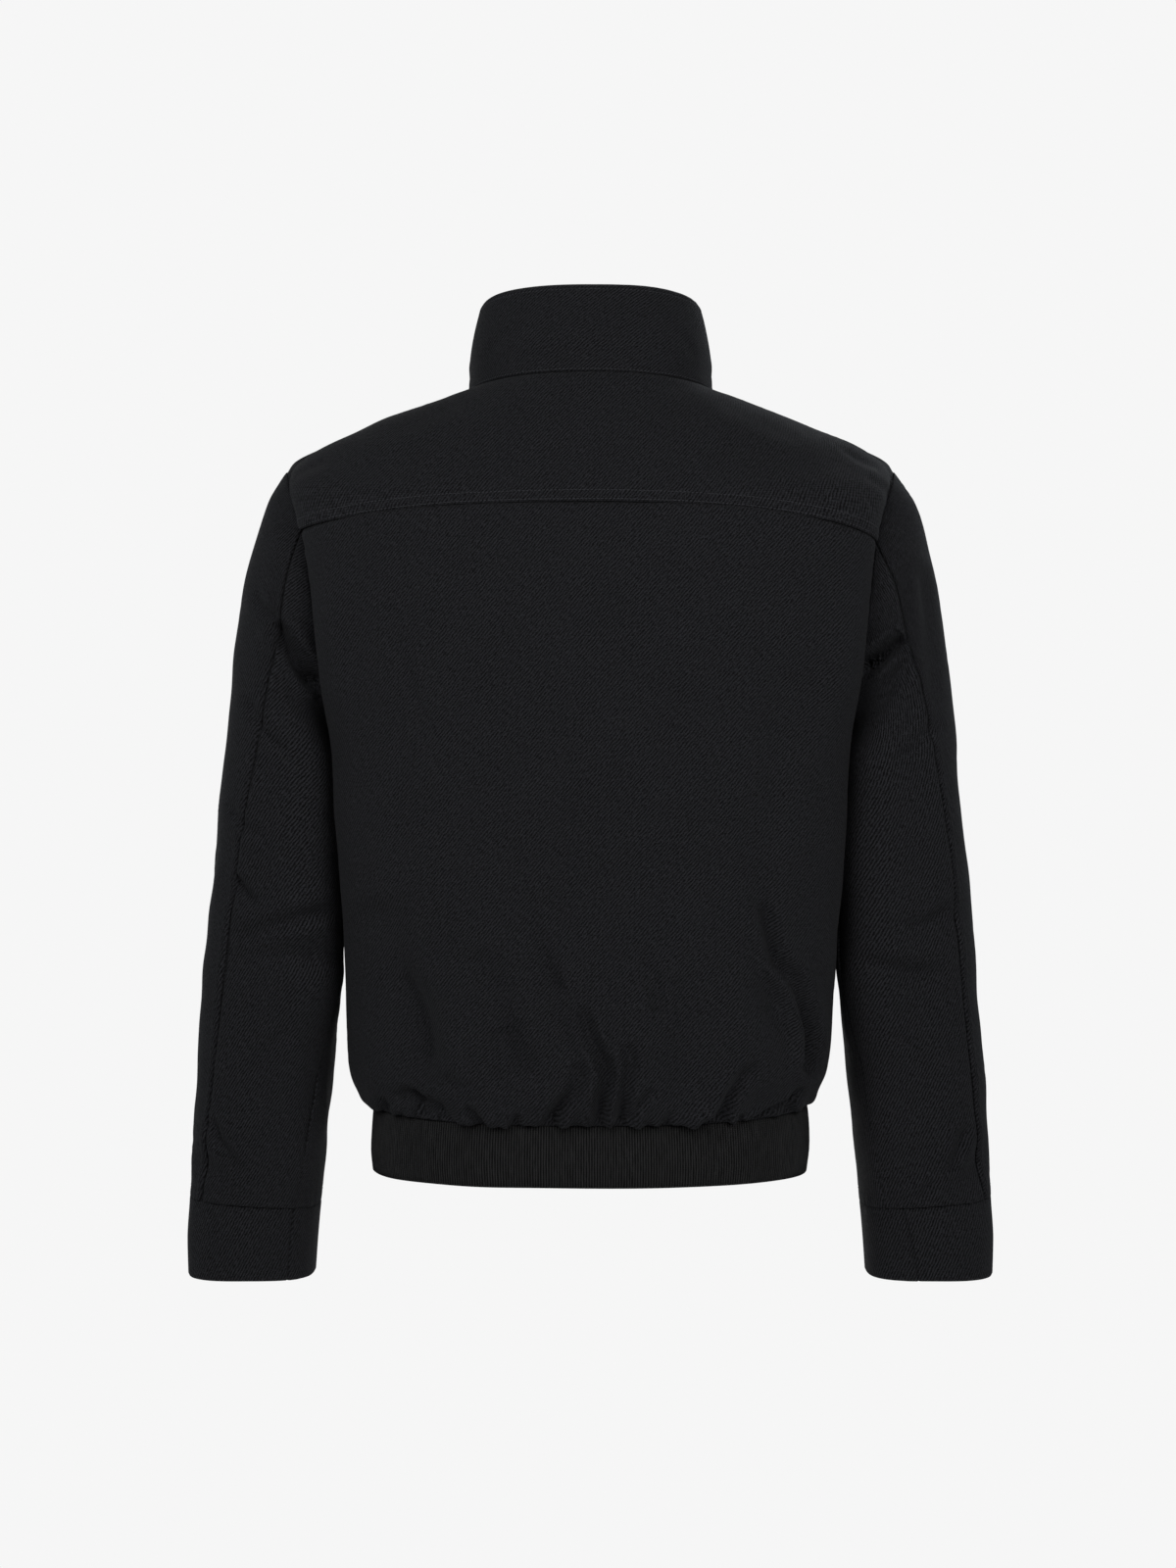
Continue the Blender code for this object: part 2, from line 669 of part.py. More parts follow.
def spread_out(turns):
    """The turns, with those that are close together near the armpit left out."""
    kept = [turns[0]]
    for turn in turns[1:-1]:
        if turn - kept[-1] >= LEAST_TURN and turns[-1] - turn >= LEAST_TURN:
            kept.append(turn)
    return kept + [turns[-1]]


def sleeve(side, twill):
    surface = sleeve_surface(side)
    flip = side == "left"
    start_back, _ = seam_turns(side, 0.0)
    turns = armhole_turns(side)
    uppers = [turn for turn in turns if turn < start_back - 1] + [start_back]
    unders = [start_back] + [turn for turn in turns if turn > start_back + 1]
    upper, under = [], []
    for row in between(0.0, float(len(SLEEVE_ROWS)), SLEEVE_STEPS_DOWN):
        back, below = seam_turns(side, row)
        gap = share_for(surface, back, row, SEAM_GAP / 2, TUBE_SPACING)
        upper.append(fitted(surface, uppers, below - 360 + gap, back - gap, row))
        under.append(fitted(surface, unders, back + gap, below - gap, row))
    wall(f"sleeve_upper_{side}", surface, upper, CLOTH, twill, TUBE_SPACING, flip=flip)
    wall(f"sleeve_under_{side}", surface, under, CLOTH, twill, TUBE_SPACING, flip=flip)


def fitted(surface, turns, start, end, row):
    """The places of one row of a sleeve, at turns spaced as they are at the armhole."""
    scale = (end - start) / (turns[-1] - turns[0])
    spaced = [start + (turn - turns[0]) * scale for turn in turns]
    return [(turn, kept_row(surface, turn, row)) for turn in spaced]


def kept_row(surface, turn, row):
    """The row, moved off the seams at the sleeve's two ends by half their gaps."""
    last = float(len(SLEEVE_ROWS))
    first = rows_for(surface, turn, INSIDE, ARMHOLE_GAP / 2, TUBE_SPACING)
    final = rows_for(surface, turn, last - INSIDE, SEAM_GAP / 2, TUBE_SPACING)
    return min(max(row, first), last - final)


def cuff(side, twill):
    surface = cuff_surface(side)
    grid = []
    for number in range(len(CUFF_ROWS)):
        row = max(number, rows_for(surface, 0.0, INSIDE, SEAM_GAP / 2, TUBE_SPACING))
        turns = [360 * i / CUFF_STEPS_ROUND for i in range(CUFF_STEPS_ROUND)]
        grid.append([(turn, row) for turn in turns])
    flip = side == "left"
    wall(f"cuff_{side}", surface, grid, DOUBLED, twill, TUBE_SPACING, closed=True, flip=flip)


# The zip.


def zip_line():
    """The points (y, z) of the cloth's outer face down the middle of the front, going up."""
    line = [(-half_depth, z) for z, _, _, half_depth in reversed(HEM_ROWS[1:])]
    line += [(row[0], row[1]) for row in FRONT_ROWS]
    for up in collar_levels()[1:]:
        point = collar_surface(1.0, up)
        line.append((point.y, point.z))
    return line


def zip_place(at):
    """(place, up, out) on the tape's outer face at a place on the zip's line."""
    line = zip_line()
    here = through(line, at)
    ahead = through(line, at + INSIDE)
    behind = through(line, at - INSIDE)
    up = Vector((0, ahead[0] - behind[0], ahead[1] - behind[1])).normalized()
    out = Vector((0, -up.z, up.y))
    return Vector((0, here[0], here[1])) - out * TAPE_RECESS, up, out


def zip_at_height(z):
    """The place on the zip's line that is at that height, found by halving."""
    low, high = 0.0, len(zip_line()) - 1.0
    for _ in range(HALVINGS):
        middle = (low + high) / 2
        if zip_place(middle)[0].z < z:
            low = middle
        else:
            high = middle
    return low


def tape(side, cotton):
    def surface(x, at):
        return zip_place(at)[0] + Vector((SIDES[side] * x, 0, 0))

    hem = len(HEM_ROWS) - 1
    ends = [zip_at_height(z) for z in (ZIP_FOOT, ZIP_TOP)]
    slider_ends = [zip_at_height(SLIDER_Z + way * SLIDER_LENGTH / 2) for way in (-1, 1)]
    places = ends + slider_ends
    places += [hem + row for row in levels(0.0)] + [1.0, 2.0, hem + NECK_ROW + 1.0]
    grid = []
    for at in sorted(places):
        if ends[0] <= at <= ends[1]:
            parted = smooth((at - slider_ends[0]) / (slider_ends[1] - slider_ends[0]) * 2)
            inner = SEAM_GAP / 2 + (TAPE_SPLIT - SEAM_GAP / 2) * parted
            grid.append([(inner, at), (TAPE_REACH, at)])
    wall(f"zip_tape_{side}", surface, grid, TAPE, cotton, BAND_SPACING, flip=side == "right")


def block(mesh, low, high):
    """Adds a closed box to a mesh, between two corners."""
    size = [b - a for a, b in zip(low, high)]
    centre = [(a + b) / 2 for a, b in zip(low, high)]
    shape = Matrix.Translation(centre) @ Matrix.Diagonal((*size, 1))
    bmesh.ops.create_cube(mesh, size=1.0, matrix=shape)


def blocks(name, boxes, material):
    """One solid made of boxes that run into each other, each (low corner, high corner)."""
    made = None
    for number, (low, high) in enumerate(boxes):
        mesh = bmesh.new()
        block(mesh, low, high)
        if made is None:
            made = finished(name, mesh, material)
            continue
        piece = finished(f"{name}_cutter_{number}", mesh, material)
        piece.hide_render = True
        piece.display_type = "WIRE"
        piece.parent = made
        union = made.modifiers.new("union", "BOOLEAN")
        union.operation = "UNION"
        union.object = piece
    return made


def place_on_zip(made, z, out_by=0.0):
    """Puts an object whose own axes are x, out (as -Y) and up on the zip at that height."""
    place, up, out = zip_place(zip_at_height(z))
    turn = Matrix((Vector((1, 0, 0)), -out, up)).transposed()
    made.matrix_world = Matrix.Translation(place + out * out_by) @ turn.to_4x4()


def slider(brass):
    """Two plates joined by a post, and the bridge that the pull hangs under. The boxes are in
    the slider's own axes: x, in (against -Y) and up, from the tape's outer face."""
    half_width, half_length, post = SLIDER_WIDTH / 2, SLIDER_LENGTH / 2, SLIDER_POST / 2
    front_in, front_out = -PLATE_OUT, -PLATE_OUT - PLATE
    back_out = TAPE + PLATE_OUT / 2
    back_in = back_out + PLATE
    bar_in = -PULL_AXIS_OUT - PULL_BAR / 2 - BRIDGE_CLEARANCE
    bar_out = bar_in - BRIDGE_BAR
    half_bridge, bridge_end = BRIDGE_WIDTH / 2, BRIDGE_HALF_LENGTH
    foot_end = bridge_end - BRIDGE_BAR
    sunk = front_out + PLATE / 2
    boxes = [
        ((-half_width, front_out, -half_length), (half_width, front_in, half_length)),
        ((-half_width, back_out, -half_length), (half_width, back_in, half_length)),
        ((-post, sunk, half_length - 2 * SLIDER_POST), (post, back_out + PLATE / 2, half_length)),
        ((-half_bridge, bar_out, -bridge_end), (half_bridge, bar_in, bridge_end)),
        ((-half_bridge, bar_out, foot_end), (half_bridge, sunk, bridge_end)),
        ((-half_bridge, bar_out, -bridge_end), (half_bridge, sunk, -foot_end)),
    ]
    made = blocks("zip_slider", boxes, brass)
    place_on_zip(made, SLIDER_Z)


def pull_tab(brass):
    """The pull hangs from the bar of its own eye, which lies under the slider's bridge."""
    half, bar = PULL_WIDTH / 2, PULL_BAR / 2
    eye = PULL_EYE_WIDTH / 2
    end = bar - PULL_LENGTH + half  # where its rounded end starts
    outline = [(-half, bar), (half, bar)]
    for step in range(PULL_END_STEPS + 1):
        angle = math.pi * step / PULL_END_STEPS
        outline.append((half * math.cos(angle), end - half * math.sin(angle)))
    hole = [(-eye, -bar), (-eye, -PULL_EYE_LENGTH), (eye, -PULL_EYE_LENGTH), (eye, -bar)]
    mesh = bmesh.new()
    loops = []
    for points in (outline, hole):
        loops.append([mesh.verts.new((x, -bar, z)) for x, z in points])
    edges = []
    for loop in loops:
        for i, vertex in enumerate(loop):
            edges.append(mesh.edges.new((vertex, loop[(i + 1) % len(loop)])))
    bmesh.ops.triangle_fill(mesh, edges=edges, use_beauty=True)
    faces = list(mesh.faces)
    raised = bmesh.ops.extrude_face_region(mesh, geom=faces)
    moved = [item for item in raised["geom"] if isinstance(item, bmesh.types.BMVert)]
    bmesh.ops.translate(mesh, verts=moved, vec=(0, PULL_BAR, 0))
    bmesh.ops.recalc_face_normals(mesh, faces=mesh.faces)
    made = finished("zip_pull", mesh, brass)
    place_on_zip(made, SLIDER_Z, PULL_AXIS_OUT)


def zip_end_pieces(brass):
    """The box at the foot of the zip, and the two stops above the slider."""
    half, depth = BOX_WIDTH / 2, BOX_DEPTH / 2
    middle = TAPE / 2
    low, high = (-half, middle - depth, -BOX_LENGTH / 2), (half, middle + depth, BOX_LENGTH / 2)
    place_on_zip(blocks("zip_box", [(low, high)], brass), BOX_Z)
    for side, sign in SIDES.items():
        near, far = sorted((sign * STOP_INNER, sign * STOP_OUTER))
        low = (near, -STOP_DEPTH - SEAM_GAP, -STOP_LENGTH / 2)
        high = (far, -SEAM_GAP, STOP_LENGTH / 2)
        place_on_zip(blocks(f"zip_stop_{side}", [(low, high)], brass), STOP_Z)


def main():
    for old in list(bpy.data.objects):
        bpy.data.objects.remove(old, do_unlink=True)
    twill = paint("black_twill", (0.013, 0.013, 0.0155), 0.85)
    rib = paint("black_rib", (0.016, 0.0155, 0.0165), 0.95)
    tape_cotton = paint("zip_tape", (0.012, 0.012, 0.013), 0.9)
    brass = paint("zip_metal", (0.50, 0.42, 0.28), 0.35, metallic=1.0)
    back_and_yoke(twill)
    for side in SIDES:
        front(side, twill)
        sleeve(side, twill)
        cuff(side, twill)
        tape(side, tape_cotton)
    collar(twill)
    hem_band(rib)
    slider(brass)
    pull_tab(brass)
    zip_end_pieces(brass)


main()
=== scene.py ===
"""The jacket's looks: each sewn piece as a fine thin shell on its solid's own form, with its
creases, seams, stitches, rib and zip. It repeats the named sizes of the solids' source, and a
comment says where one differs. Sizes are in metres, and turns in degrees."""

import math

import bmesh
import bpy
import numpy as np
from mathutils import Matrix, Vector


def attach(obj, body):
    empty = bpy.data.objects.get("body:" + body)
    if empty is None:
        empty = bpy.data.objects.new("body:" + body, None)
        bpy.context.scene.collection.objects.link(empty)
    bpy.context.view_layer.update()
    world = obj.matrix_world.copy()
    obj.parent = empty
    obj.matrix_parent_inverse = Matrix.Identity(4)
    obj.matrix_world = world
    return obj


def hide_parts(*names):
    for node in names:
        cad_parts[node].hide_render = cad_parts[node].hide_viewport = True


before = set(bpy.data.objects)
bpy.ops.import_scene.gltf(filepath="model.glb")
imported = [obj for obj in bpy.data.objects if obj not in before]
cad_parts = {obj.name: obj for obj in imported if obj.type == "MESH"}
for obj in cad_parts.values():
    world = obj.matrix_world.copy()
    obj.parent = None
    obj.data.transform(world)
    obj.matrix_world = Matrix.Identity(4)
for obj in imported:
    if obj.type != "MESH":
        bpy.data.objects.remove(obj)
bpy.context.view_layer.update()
FIELD = np.random.default_rng(20260)

# Walls, and gaps that are half as wide as the solids' or less, because sewn seams look closed.
CLOTH = 0.0015
DOUBLED = 0.0024
SEAM_GAP = 0.00016
ARMHOLE_GAP = 0.00040

# The body. Columns: mid_y, mid_z, edge_x, edge_z, armhole_turn, widest, square.
BACK_ROWS = (
    (0.121, -0.565, 0.17, -0.559, 180, 0.17, 2.6),
    (0.131, -0.553, 0.178, -0.549, 180, 0.178, 2.6),
    (0.136, -0.53, 0.185, -0.53, 180, 0.186, 2.7),
    (0.136, -0.47, 0.188, -0.475, 180, 0.192, 2.9),
    (0.137, -0.39, 0.186, -0.4, 180, 0.202, 3.0),
    (0.139, -0.3, 0.186, -0.31, 180, 0.208, 3.1),
    (0.14, -0.262, 0.1965, -0.272, 180, 0.209, 3.1),
    (0.139, -0.225, 0.1965, -0.272, 135, 0.206, 2.9),
    (0.134, -0.165, 0.1965, -0.272, 92, 0.2105, 2.9),
    (0.124, -0.101, 0.1965, -0.272, 60, 0.219, 2.8),
    (0.121, -0.088, 0.1965, -0.272, 22, 0.231, 2.4),
    (0.116, -0.073, 0.2365, -0.0665, -16, 0.2365, 2.2),
    (0.106, -0.046, 0.19, -0.037, -16, 0.19, 2.2),
    (0.095, -0.021, 0.14, -0.0175, -16, 0.14, 2.2),
    (0.085, 0.001, 0.0955, -0.003, -16, 0.0955, 2.3),
)
FRONT_ROWS = (
    (-0.121, -0.565, 0.17, -0.559, -180, 0.17, 2.6),
    (-0.131, -0.553, 0.178, -0.549, -180, 0.178, 2.6),
    (-0.136, -0.53, 0.185, -0.53, -180, 0.186, 2.7),
    (-0.138, -0.47, 0.188, -0.475, -180, 0.192, 2.9),
    (-0.141, -0.39, 0.186, -0.4, -180, 0.202, 3.0),
    (-0.143, -0.305, 0.186, -0.31, -180, 0.207, 3.0),
    (-0.142, -0.272, 0.1965, -0.272, -180, 0.206, 3.0),
    (-0.14, -0.242, 0.1965, -0.272, -135, 0.204, 2.9),
    (-0.134, -0.196, 0.1965, -0.272, -92, 0.203, 2.8),
    (-0.124, -0.152, 0.1965, -0.272, -62, 0.213, 2.5),
    (-0.119, -0.137, 0.1965, -0.272, -40, 0.225, 2.3),
    (-0.115, -0.124, 0.2365, -0.0665, -16, 0.2365, 2.2),
    (-0.105, -0.104, 0.19, -0.037, -16, 0.19, 2.2),
    (-0.096, -0.088, 0.14, -0.0175, -16, 0.14, 2.2),
    (-0.086, -0.074, 0.0955, -0.003, -16, 0.0955, 2.2),
)
ARMPIT_ROW = 6
SHOULDER_ROW = 11
NECK_ROW = 14
SHOULDER_SEAM_Y = (-0.018, -0.024)
UNDERARM_REACH = 0.095
LEAST_UNDERARM_REACH = 0.020
# The yoke's seam sags more than the solids', and its left end is 3 mm higher.
YOKE_ROW = {"left": 9.05, "middle": 9.0, "right": 8.84}
YOKE_BEND = 1.5
YOKE_SAG = 0.065

# The armhole. Columns: turn, x, y, z.
ARMHOLE = (
    (-180, 0.1965, 0.0, -0.272),
    (-135, 0.197, -0.055, -0.245),
    (-90, 0.203, -0.08, -0.178),
    (-45, 0.2235, -0.053, -0.093),
    (-16, 0.2365, -0.018, -0.0665),
    (22, 0.233, 0.03, -0.0775),
    (60, 0.219, 0.068, -0.119),
    (92, 0.2115, 0.077, -0.174),
    (135, 0.201, 0.053, -0.244),
    (180, 0.1965, 0.0, -0.272),
)

# The sleeves and cuffs. Columns: inner_x, inner_z, outer_x, outer_z, mid_y, half_depth, square.
# Where they meet, the outer side is 7 mm higher than the solids'.
SLEEVE_ROWS = (
    (0.2005, -0.2755, 0.25, -0.086, 0.0, 0.077, 2.2),
    (0.2015, -0.2815, 0.265, -0.128, 0.001, 0.0765, 2.25),
    (0.201, -0.29, 0.2745, -0.182, 0.002, 0.0745, 2.35),
    (0.1995, -0.303, 0.2805, -0.24, 0.002, 0.0715, 2.5),
    (0.198, -0.327, 0.2865, -0.3, 0.001, 0.069, 2.65),
    (0.1965, -0.38, 0.2945, -0.372, -0.002, 0.0665, 2.75),
    (0.197, -0.442, 0.301, -0.438, -0.007, 0.064, 2.75),
    (0.202, -0.52, 0.308, -0.518, -0.013, 0.06, 2.7),
    (0.208, -0.586, 0.3135, -0.586, -0.017, 0.056, 2.65),
    (0.214, -0.642, 0.3161, -0.635, -0.02, 0.051, 2.6),
)
CUFF_ROWS = (
    (0.2145, -0.642, 0.3156, -0.635, -0.02, 0.05, 2.6),
    (0.217, -0.67, 0.318, -0.67, -0.021, 0.048, 2.6),
    (0.219, -0.698, 0.3175, -0.698, -0.022, 0.046, 2.6),
)
# How long a degree round the sleeve is.
SLEEVE_DEGREE = 0.001
# Columns: row, back_turn, under_turn.
SLEEVE_SEAMS = {
    "left": (
        (0.0, 60.0, 180.0),
        (1.0, 75.0, 179.0),
        (2.0, 83.0, 178.0),
        (4.0, 75.0, 172.0),
        (6.0, 61.0, 158.0),
        (8.0, 53.0, 142.0),
        (10.0, 46.0, 130.0),
    ),
    "right": (
        (0.0, 60.0, 180.0),
        (1.0, 76.0, 179.0),
        (2.0, 80.0, 178.0),
        (4.0, 66.0, 172.0),
        (6.0, 53.5, 158.0),
        (8.0, 48.5, 142.0),
        (10.0, 38.0, 130.0),
    ),
}

# The collar, the rib band (columns: mid_z, side_z, half_width, half_depth) and the zip.
COLLAR_TOP = {"back": (0.065, 0.0705), "front": (-0.079, -0.012), "side": (0.0875, -0.012, 0.057)}
COLLAR_SQUARE = {"back": 2.5, "front": 2.2}
COLLAR_HEIGHT = 0.065
COLLAR_BACK_SHARE = 0.62
COLLAR_BOW = 0.003
COLLAR_FLAT_SHARE = 0.2
COLLAR_LEVEL = 0.75
HEM_ROWS = (
    (-0.5654, -0.5594, 0.169, 0.1205),
    (-0.574, -0.57, 0.17, 0.1225),
    (-0.595, -0.5935, 0.1712, 0.1245),
    (-0.611, -0.61, 0.1698, 0.1235),
)
HEM_SQUARE = 2.6
ZIP_OPENING = 0.0040
TAPE = 0.0010
TAPE_REACH = 0.0110
TAPE_RECESS = 0.0034
TAPE_SPLIT = 0.0015
ZIP_FOOT = -0.5990
ZIP_TOP = -0.0125
SLIDER_Z = -0.0260
SLIDER_LENGTH = 0.0105
STOP_Z = -0.0165
STOP_LENGTH = 0.0030
TOOTH_PITCH = 0.0025
TOOTH = {"length": 0.0011, "tip": 0.00055, "waist": 0.0004, "root": 0.0022}
TOOTH |= {"half_depth": 0.00105, "bevel": 0.00018}
METAL_BEVEL = 0.00022
# How far above the tape's foot the teeth start, how far below the stop they end, and how far they
# go into the slider.
TOOTH_FOOT, TOOTH_TOP, TOOTH_HIDDEN = 0.001, 0.0008, 0.0008

# The solids' large folds. Columns: from_x, from_z, to_x, to_z, bow, width, height.
FOLD_REACH = 0.62
FLAT_SHARE = 0.10
FLAT_ROWS = 0.9
BACK_FOLDS = (
    (-0.128, -0.4, -0.17, -0.53, 0.01, 0.02, -0.007),
    (-0.098, -0.44, -0.146, -0.54, 0.008, 0.02, 0.005),
    (0.152, -0.44, 0.122, -0.53, -0.006, 0.022, -0.0045),
    (0.04, -0.43, -0.01, -0.54, 0.012, 0.022, -0.0035),
    (0.196, -0.15, 0.15, -0.33, 0.014, 0.026, 0.004),
    (-0.196, -0.15, -0.15, -0.33, -0.014, 0.026, 0.004),
)
FRONT_FOLDS = (
    (0.1, -0.43, 0.13, -0.54, 0.008, 0.022, -0.0045),
    (-0.09, -0.42, -0.126, -0.54, -0.008, 0.022, -0.0045),
    (0.15, -0.2, 0.11, -0.33, 0.01, 0.026, -0.0035),
    (-0.154, -0.196, -0.108, -0.34, -0.01, 0.026, -0.0035),
)
# Columns: from_turn, from_z, to_turn, to_z, width, height.
SLEEVE_FOLDS = {
    "left": (
        (66.0, -0.19, 130.0, -0.262, 0.016, -0.009),
        (-120.0, -0.262, -62.0, -0.19, 0.016, -0.005),
        (40.0, -0.38, 92.0, -0.405, 0.018, -0.005),
        (60.0, -0.452, 140.0, -0.418, 0.02, -0.0045),
        (20.0, -0.59, 80.0, -0.625, 0.018, -0.0035),
        (-100.0, -0.42, -30.0, -0.4, 0.02, -0.0045),
    ),
    "right": (
        (66.0, -0.205, 130.0, -0.255, 0.016, -0.0085),
        (-120.0, -0.262, -62.0, -0.186, 0.016, -0.005),
        (36.0, -0.402, 96.0, -0.426, 0.02, -0.004),
        (50.0, -0.47, 130.0, -0.455, 0.02, -0.004),
        (30.0, -0.592, 70.0, -0.63, 0.018, -0.0035),
        (-110.0, -0.44, -36.0, -0.41, 0.02, -0.0045),
    ),
}
SIDES = {"left": 1.0, "right": -1.0}

# Creases, placed one by one. Each row is a crease's depth at its start and at its end, its half width,
# how much of a ridge it has on its left (as seen going along it) and on its right, and its (x, z).
BACK_CREASES = (
    (0.0018, 0.005, 0.005, 0.3, 0.5, (0.0421, -0.4177), (0.033, -0.441), (0.0253, -0.462)),
    (0.0042, 0.0101, 0.0048, 0.5, 0.6, (0.0083, -0.4722), (-0.0004, -0.4983), (-0.0123, -0.5242),
     (-0.0083, -0.5477), (-0.0069, -0.56)),
    (0.002, 0.0045, 0.005, 0.3, 0.6, (-0.0381, -0.4388), (-0.0476, -0.4591), (-0.0512, -0.4802)),
    (0.0032, 0.0097, 0.0046, 0.4, 0.6, (-0.0265, -0.5005), (-0.0294, -0.5165), (-0.025, -0.5346),
     (-0.0236, -0.5477), (-0.0214, -0.563)),
    (0.0097, 0.0027, 0.0046, 0.6, 0.4, (0.0316, -0.564), (0.0229, -0.5499), (0.0123, -0.5368),
     (0.0098, -0.5242), (0.0149, -0.5165)),
    (0.0032, 0.0038, 0.011, 0.2, 0.2, (0.0667, -0.4903), (0.0563, -0.5114), (0.0434, -0.5242)),
    (0.0105, 0.0021, 0.005, 0.3, 0.7, (-0.086, -0.564), (-0.0966, -0.5578), (-0.1042, -0.5423),
     (-0.1122, -0.5293), (-0.1252, -0.5186)),
    (0.0046, 0.0027, 0.0022, 0.4, 0.4, (-0.1093, -0.564), (-0.1125, -0.556)),
    (0.0046, 0.0027, 0.0022, 0.4, 0.4, (-0.1205, -0.563), (-0.1405, -0.5539), (-0.1586, -0.5475)),
    (0.0042, 0.0092, 0.0052, 1, 0.4, (-0.13, -0.396), (-0.1329, -0.4153), (-0.1405, -0.441),
     (-0.1535, -0.4591), (-0.1615, -0.4802), (-0.1666, -0.5005), (-0.1652, -0.5242)),
    (0.0027, 0.0048, 0.009, 0.3, 0.2, (0.147, -0.4515), (0.1289, -0.4802), (0.1223, -0.506),
     (0.1267, -0.5165)),
    (0.0027, 0.0032, 0.006, 0.2, 0.2, (0.1085, -0.5266), (0.0976, -0.5346)),
    (0.0038, 0.0064, 0.006, 0.3, 0.3, (0.1521, -0.5448), (0.1267, -0.5528), (0.1085, -0.56)),
    (0.0076, 0.0021, 0.0036, 0.4, 0.4, (0.0784, -0.564), (0.085, -0.556), (0.093, -0.55)),
    (0.0059, 0.0021, 0.0034, 0.5, 0.3, (-0.0294, -0.56), (-0.0374, -0.5448), (-0.0497, -0.5368)),
    (0.0062, 0.0015, 0.0032, 0.3, 0.3, (0.056, -0.564), (0.0535, -0.554)),
    (0.0062, 0.0015, 0.0032, 0.3, 0.3, (-0.056, -0.564), (-0.06, -0.553)),
    (0.0075, 0.0015, 0.0036, 0.3, 0.5, (0.128, -0.562), (0.133, -0.552), (0.142, -0.544)),
    (0.007, 0.0015, 0.0034, 0.5, 0.3, (0.153, -0.558), (0.159, -0.548)),
    (0.0065, 0.0015, 0.0034, 0.5, 0.3, (-0.148, -0.559), (-0.154, -0.548), (-0.164, -0.538)),
    (0.0015, 0.0027, 0.007, 0.3, 0.3, (0.06, -0.35), (0.05, -0.39), (0.043, -0.42)),
    (0.0013, 0.0027, 0.008, 0.3, 0.3, (-0.11, -0.335), (-0.123, -0.37), (-0.13, -0.41)),
    (0.0015, 0.0015, 0.007, 0.3, 0.3, (-0.018, -0.29), (-0.029, -0.34), (-0.034, -0.4)),
    (0.0018, 0.0013, 0.006, 0.3, 0.3, (0.145, -0.205), (0.13, -0.245), (0.124, -0.285)),
)
BROAD_CREASES = (
    (0.006, 0.011, 0.024, 0.2, 0.2, (0.16, -0.39), (0.15, -0.45), (0.135, -0.515), (0.125, -0.545)),
    (0.004, 0.008, 0.015, 0.6, 0.2, (0.085, -0.43), (0.07, -0.48), (0.064, -0.53)),
    (0.003, 0.006, 0.015, 0.4, 0.4, (-0.064, -0.45), (-0.072, -0.495), (-0.07, -0.535)),
    (0.0022, 0.0036, 0.018, 0.4, 0.4, (0.03, -0.26), (0.02, -0.34), (0.015, -0.41)),
    (0.0026, 0.0026, 0.016, 0.4, 0.4, (-0.15, -0.22), (-0.135, -0.3), (-0.13, -0.37)),
)
SHOULDER_CREASES = (
    (0.001, 0.0008, 0.0035, 0.5, 0.5, (-0.1946, -0.0548), (-0.2093, -0.0635), (-0.2239, -0.0673)),
    (0.001, 0.0008, 0.0035, 0.5, 0.5, (-0.2119, -0.078), (-0.2254, -0.085), (-0.232, -0.093)),
    (0.0008, 0.0008, 0.004, 0.4, 0.4, (0.202, -0.064), (0.218, -0.07), (0.229, -0.076)),
    (0.0006, 0.0006, 0.006, 0.4, 0.4, (0.09, -0.015), (0.125, -0.033), (0.16, -0.048)),
    (0.0006, 0.0006, 0.006, 0.4, 0.4, (-0.094, -0.018), (-0.128, -0.035), (-0.162, -0.052)),
)
FRONT_CREASES = (
    (0.0055, 0.001, 0.0048, 0.5, 0.5, (0.033, -0.564), (0.039, -0.548), (0.05, -0.53), (0.052, -0.51)),
    (0.005, 0.001, 0.0046, 0.5, 0.5, (0.072, -0.564), (0.07, -0.55), (0.061, -0.535)),
    (0.0055, 0.001, 0.005, 0.6, 0.4, (0.101, -0.564), (0.108, -0.548), (0.12, -0.526), (0.123, -0.495),
     (0.118, -0.46)),
    (0.004, 0.0008, 0.004, 0.4, 0.4, (0.134, -0.564), (0.142, -0.552), (0.15, -0.535)),
    (0.006, 0.001, 0.0048, 0.5, 0.5, (-0.029, -0.564), (-0.034, -0.548), (-0.031, -0.526), (-0.024, -0.49)),
    (0.0045, 0.001, 0.0042, 0.5, 0.5, (-0.062, -0.564), (-0.068, -0.55), (-0.08, -0.534)),
    (0.0055, 0.001, 0.005, 0.4, 0.6, (-0.096, -0.564), (-0.102, -0.546), (-0.116, -0.524), (-0.128, -0.495),
     (-0.127, -0.46)),
    (0.004, 0.0008, 0.004, 0.4, 0.4, (-0.13, -0.564), (-0.139, -0.55), (-0.148, -0.53)),
    (0.0008, 0.0012, 0.008, 0.3, 0.3, (0.155, -0.21), (0.125, -0.26), (0.105, -0.32), (0.1, -0.37)),
    (0.0008, 0.0012, 0.008, 0.3, 0.3, (-0.16, -0.2), (-0.13, -0.25), (-0.108, -0.31), (-0.098, -0.35)),
    (0.0006, 0.001, 0.007, 0.3, 0.3, (0.04, -0.14), (0.055, -0.19), (0.062, -0.24)),
    (0.0006, 0.001, 0.007, 0.3, 0.3, (-0.045, -0.13), (-0.06, -0.18), (-0.064, -0.235)),
    (0.0008, 0.001, 0.007, 0.3, 0.3, (0.07, -0.36), (0.062, -0.41), (0.067, -0.47)),
    (0.0008, 0.001, 0.007, 0.3, 0.3, (-0.062, -0.34), (-0.07, -0.39), (-0.064, -0.44)),
)
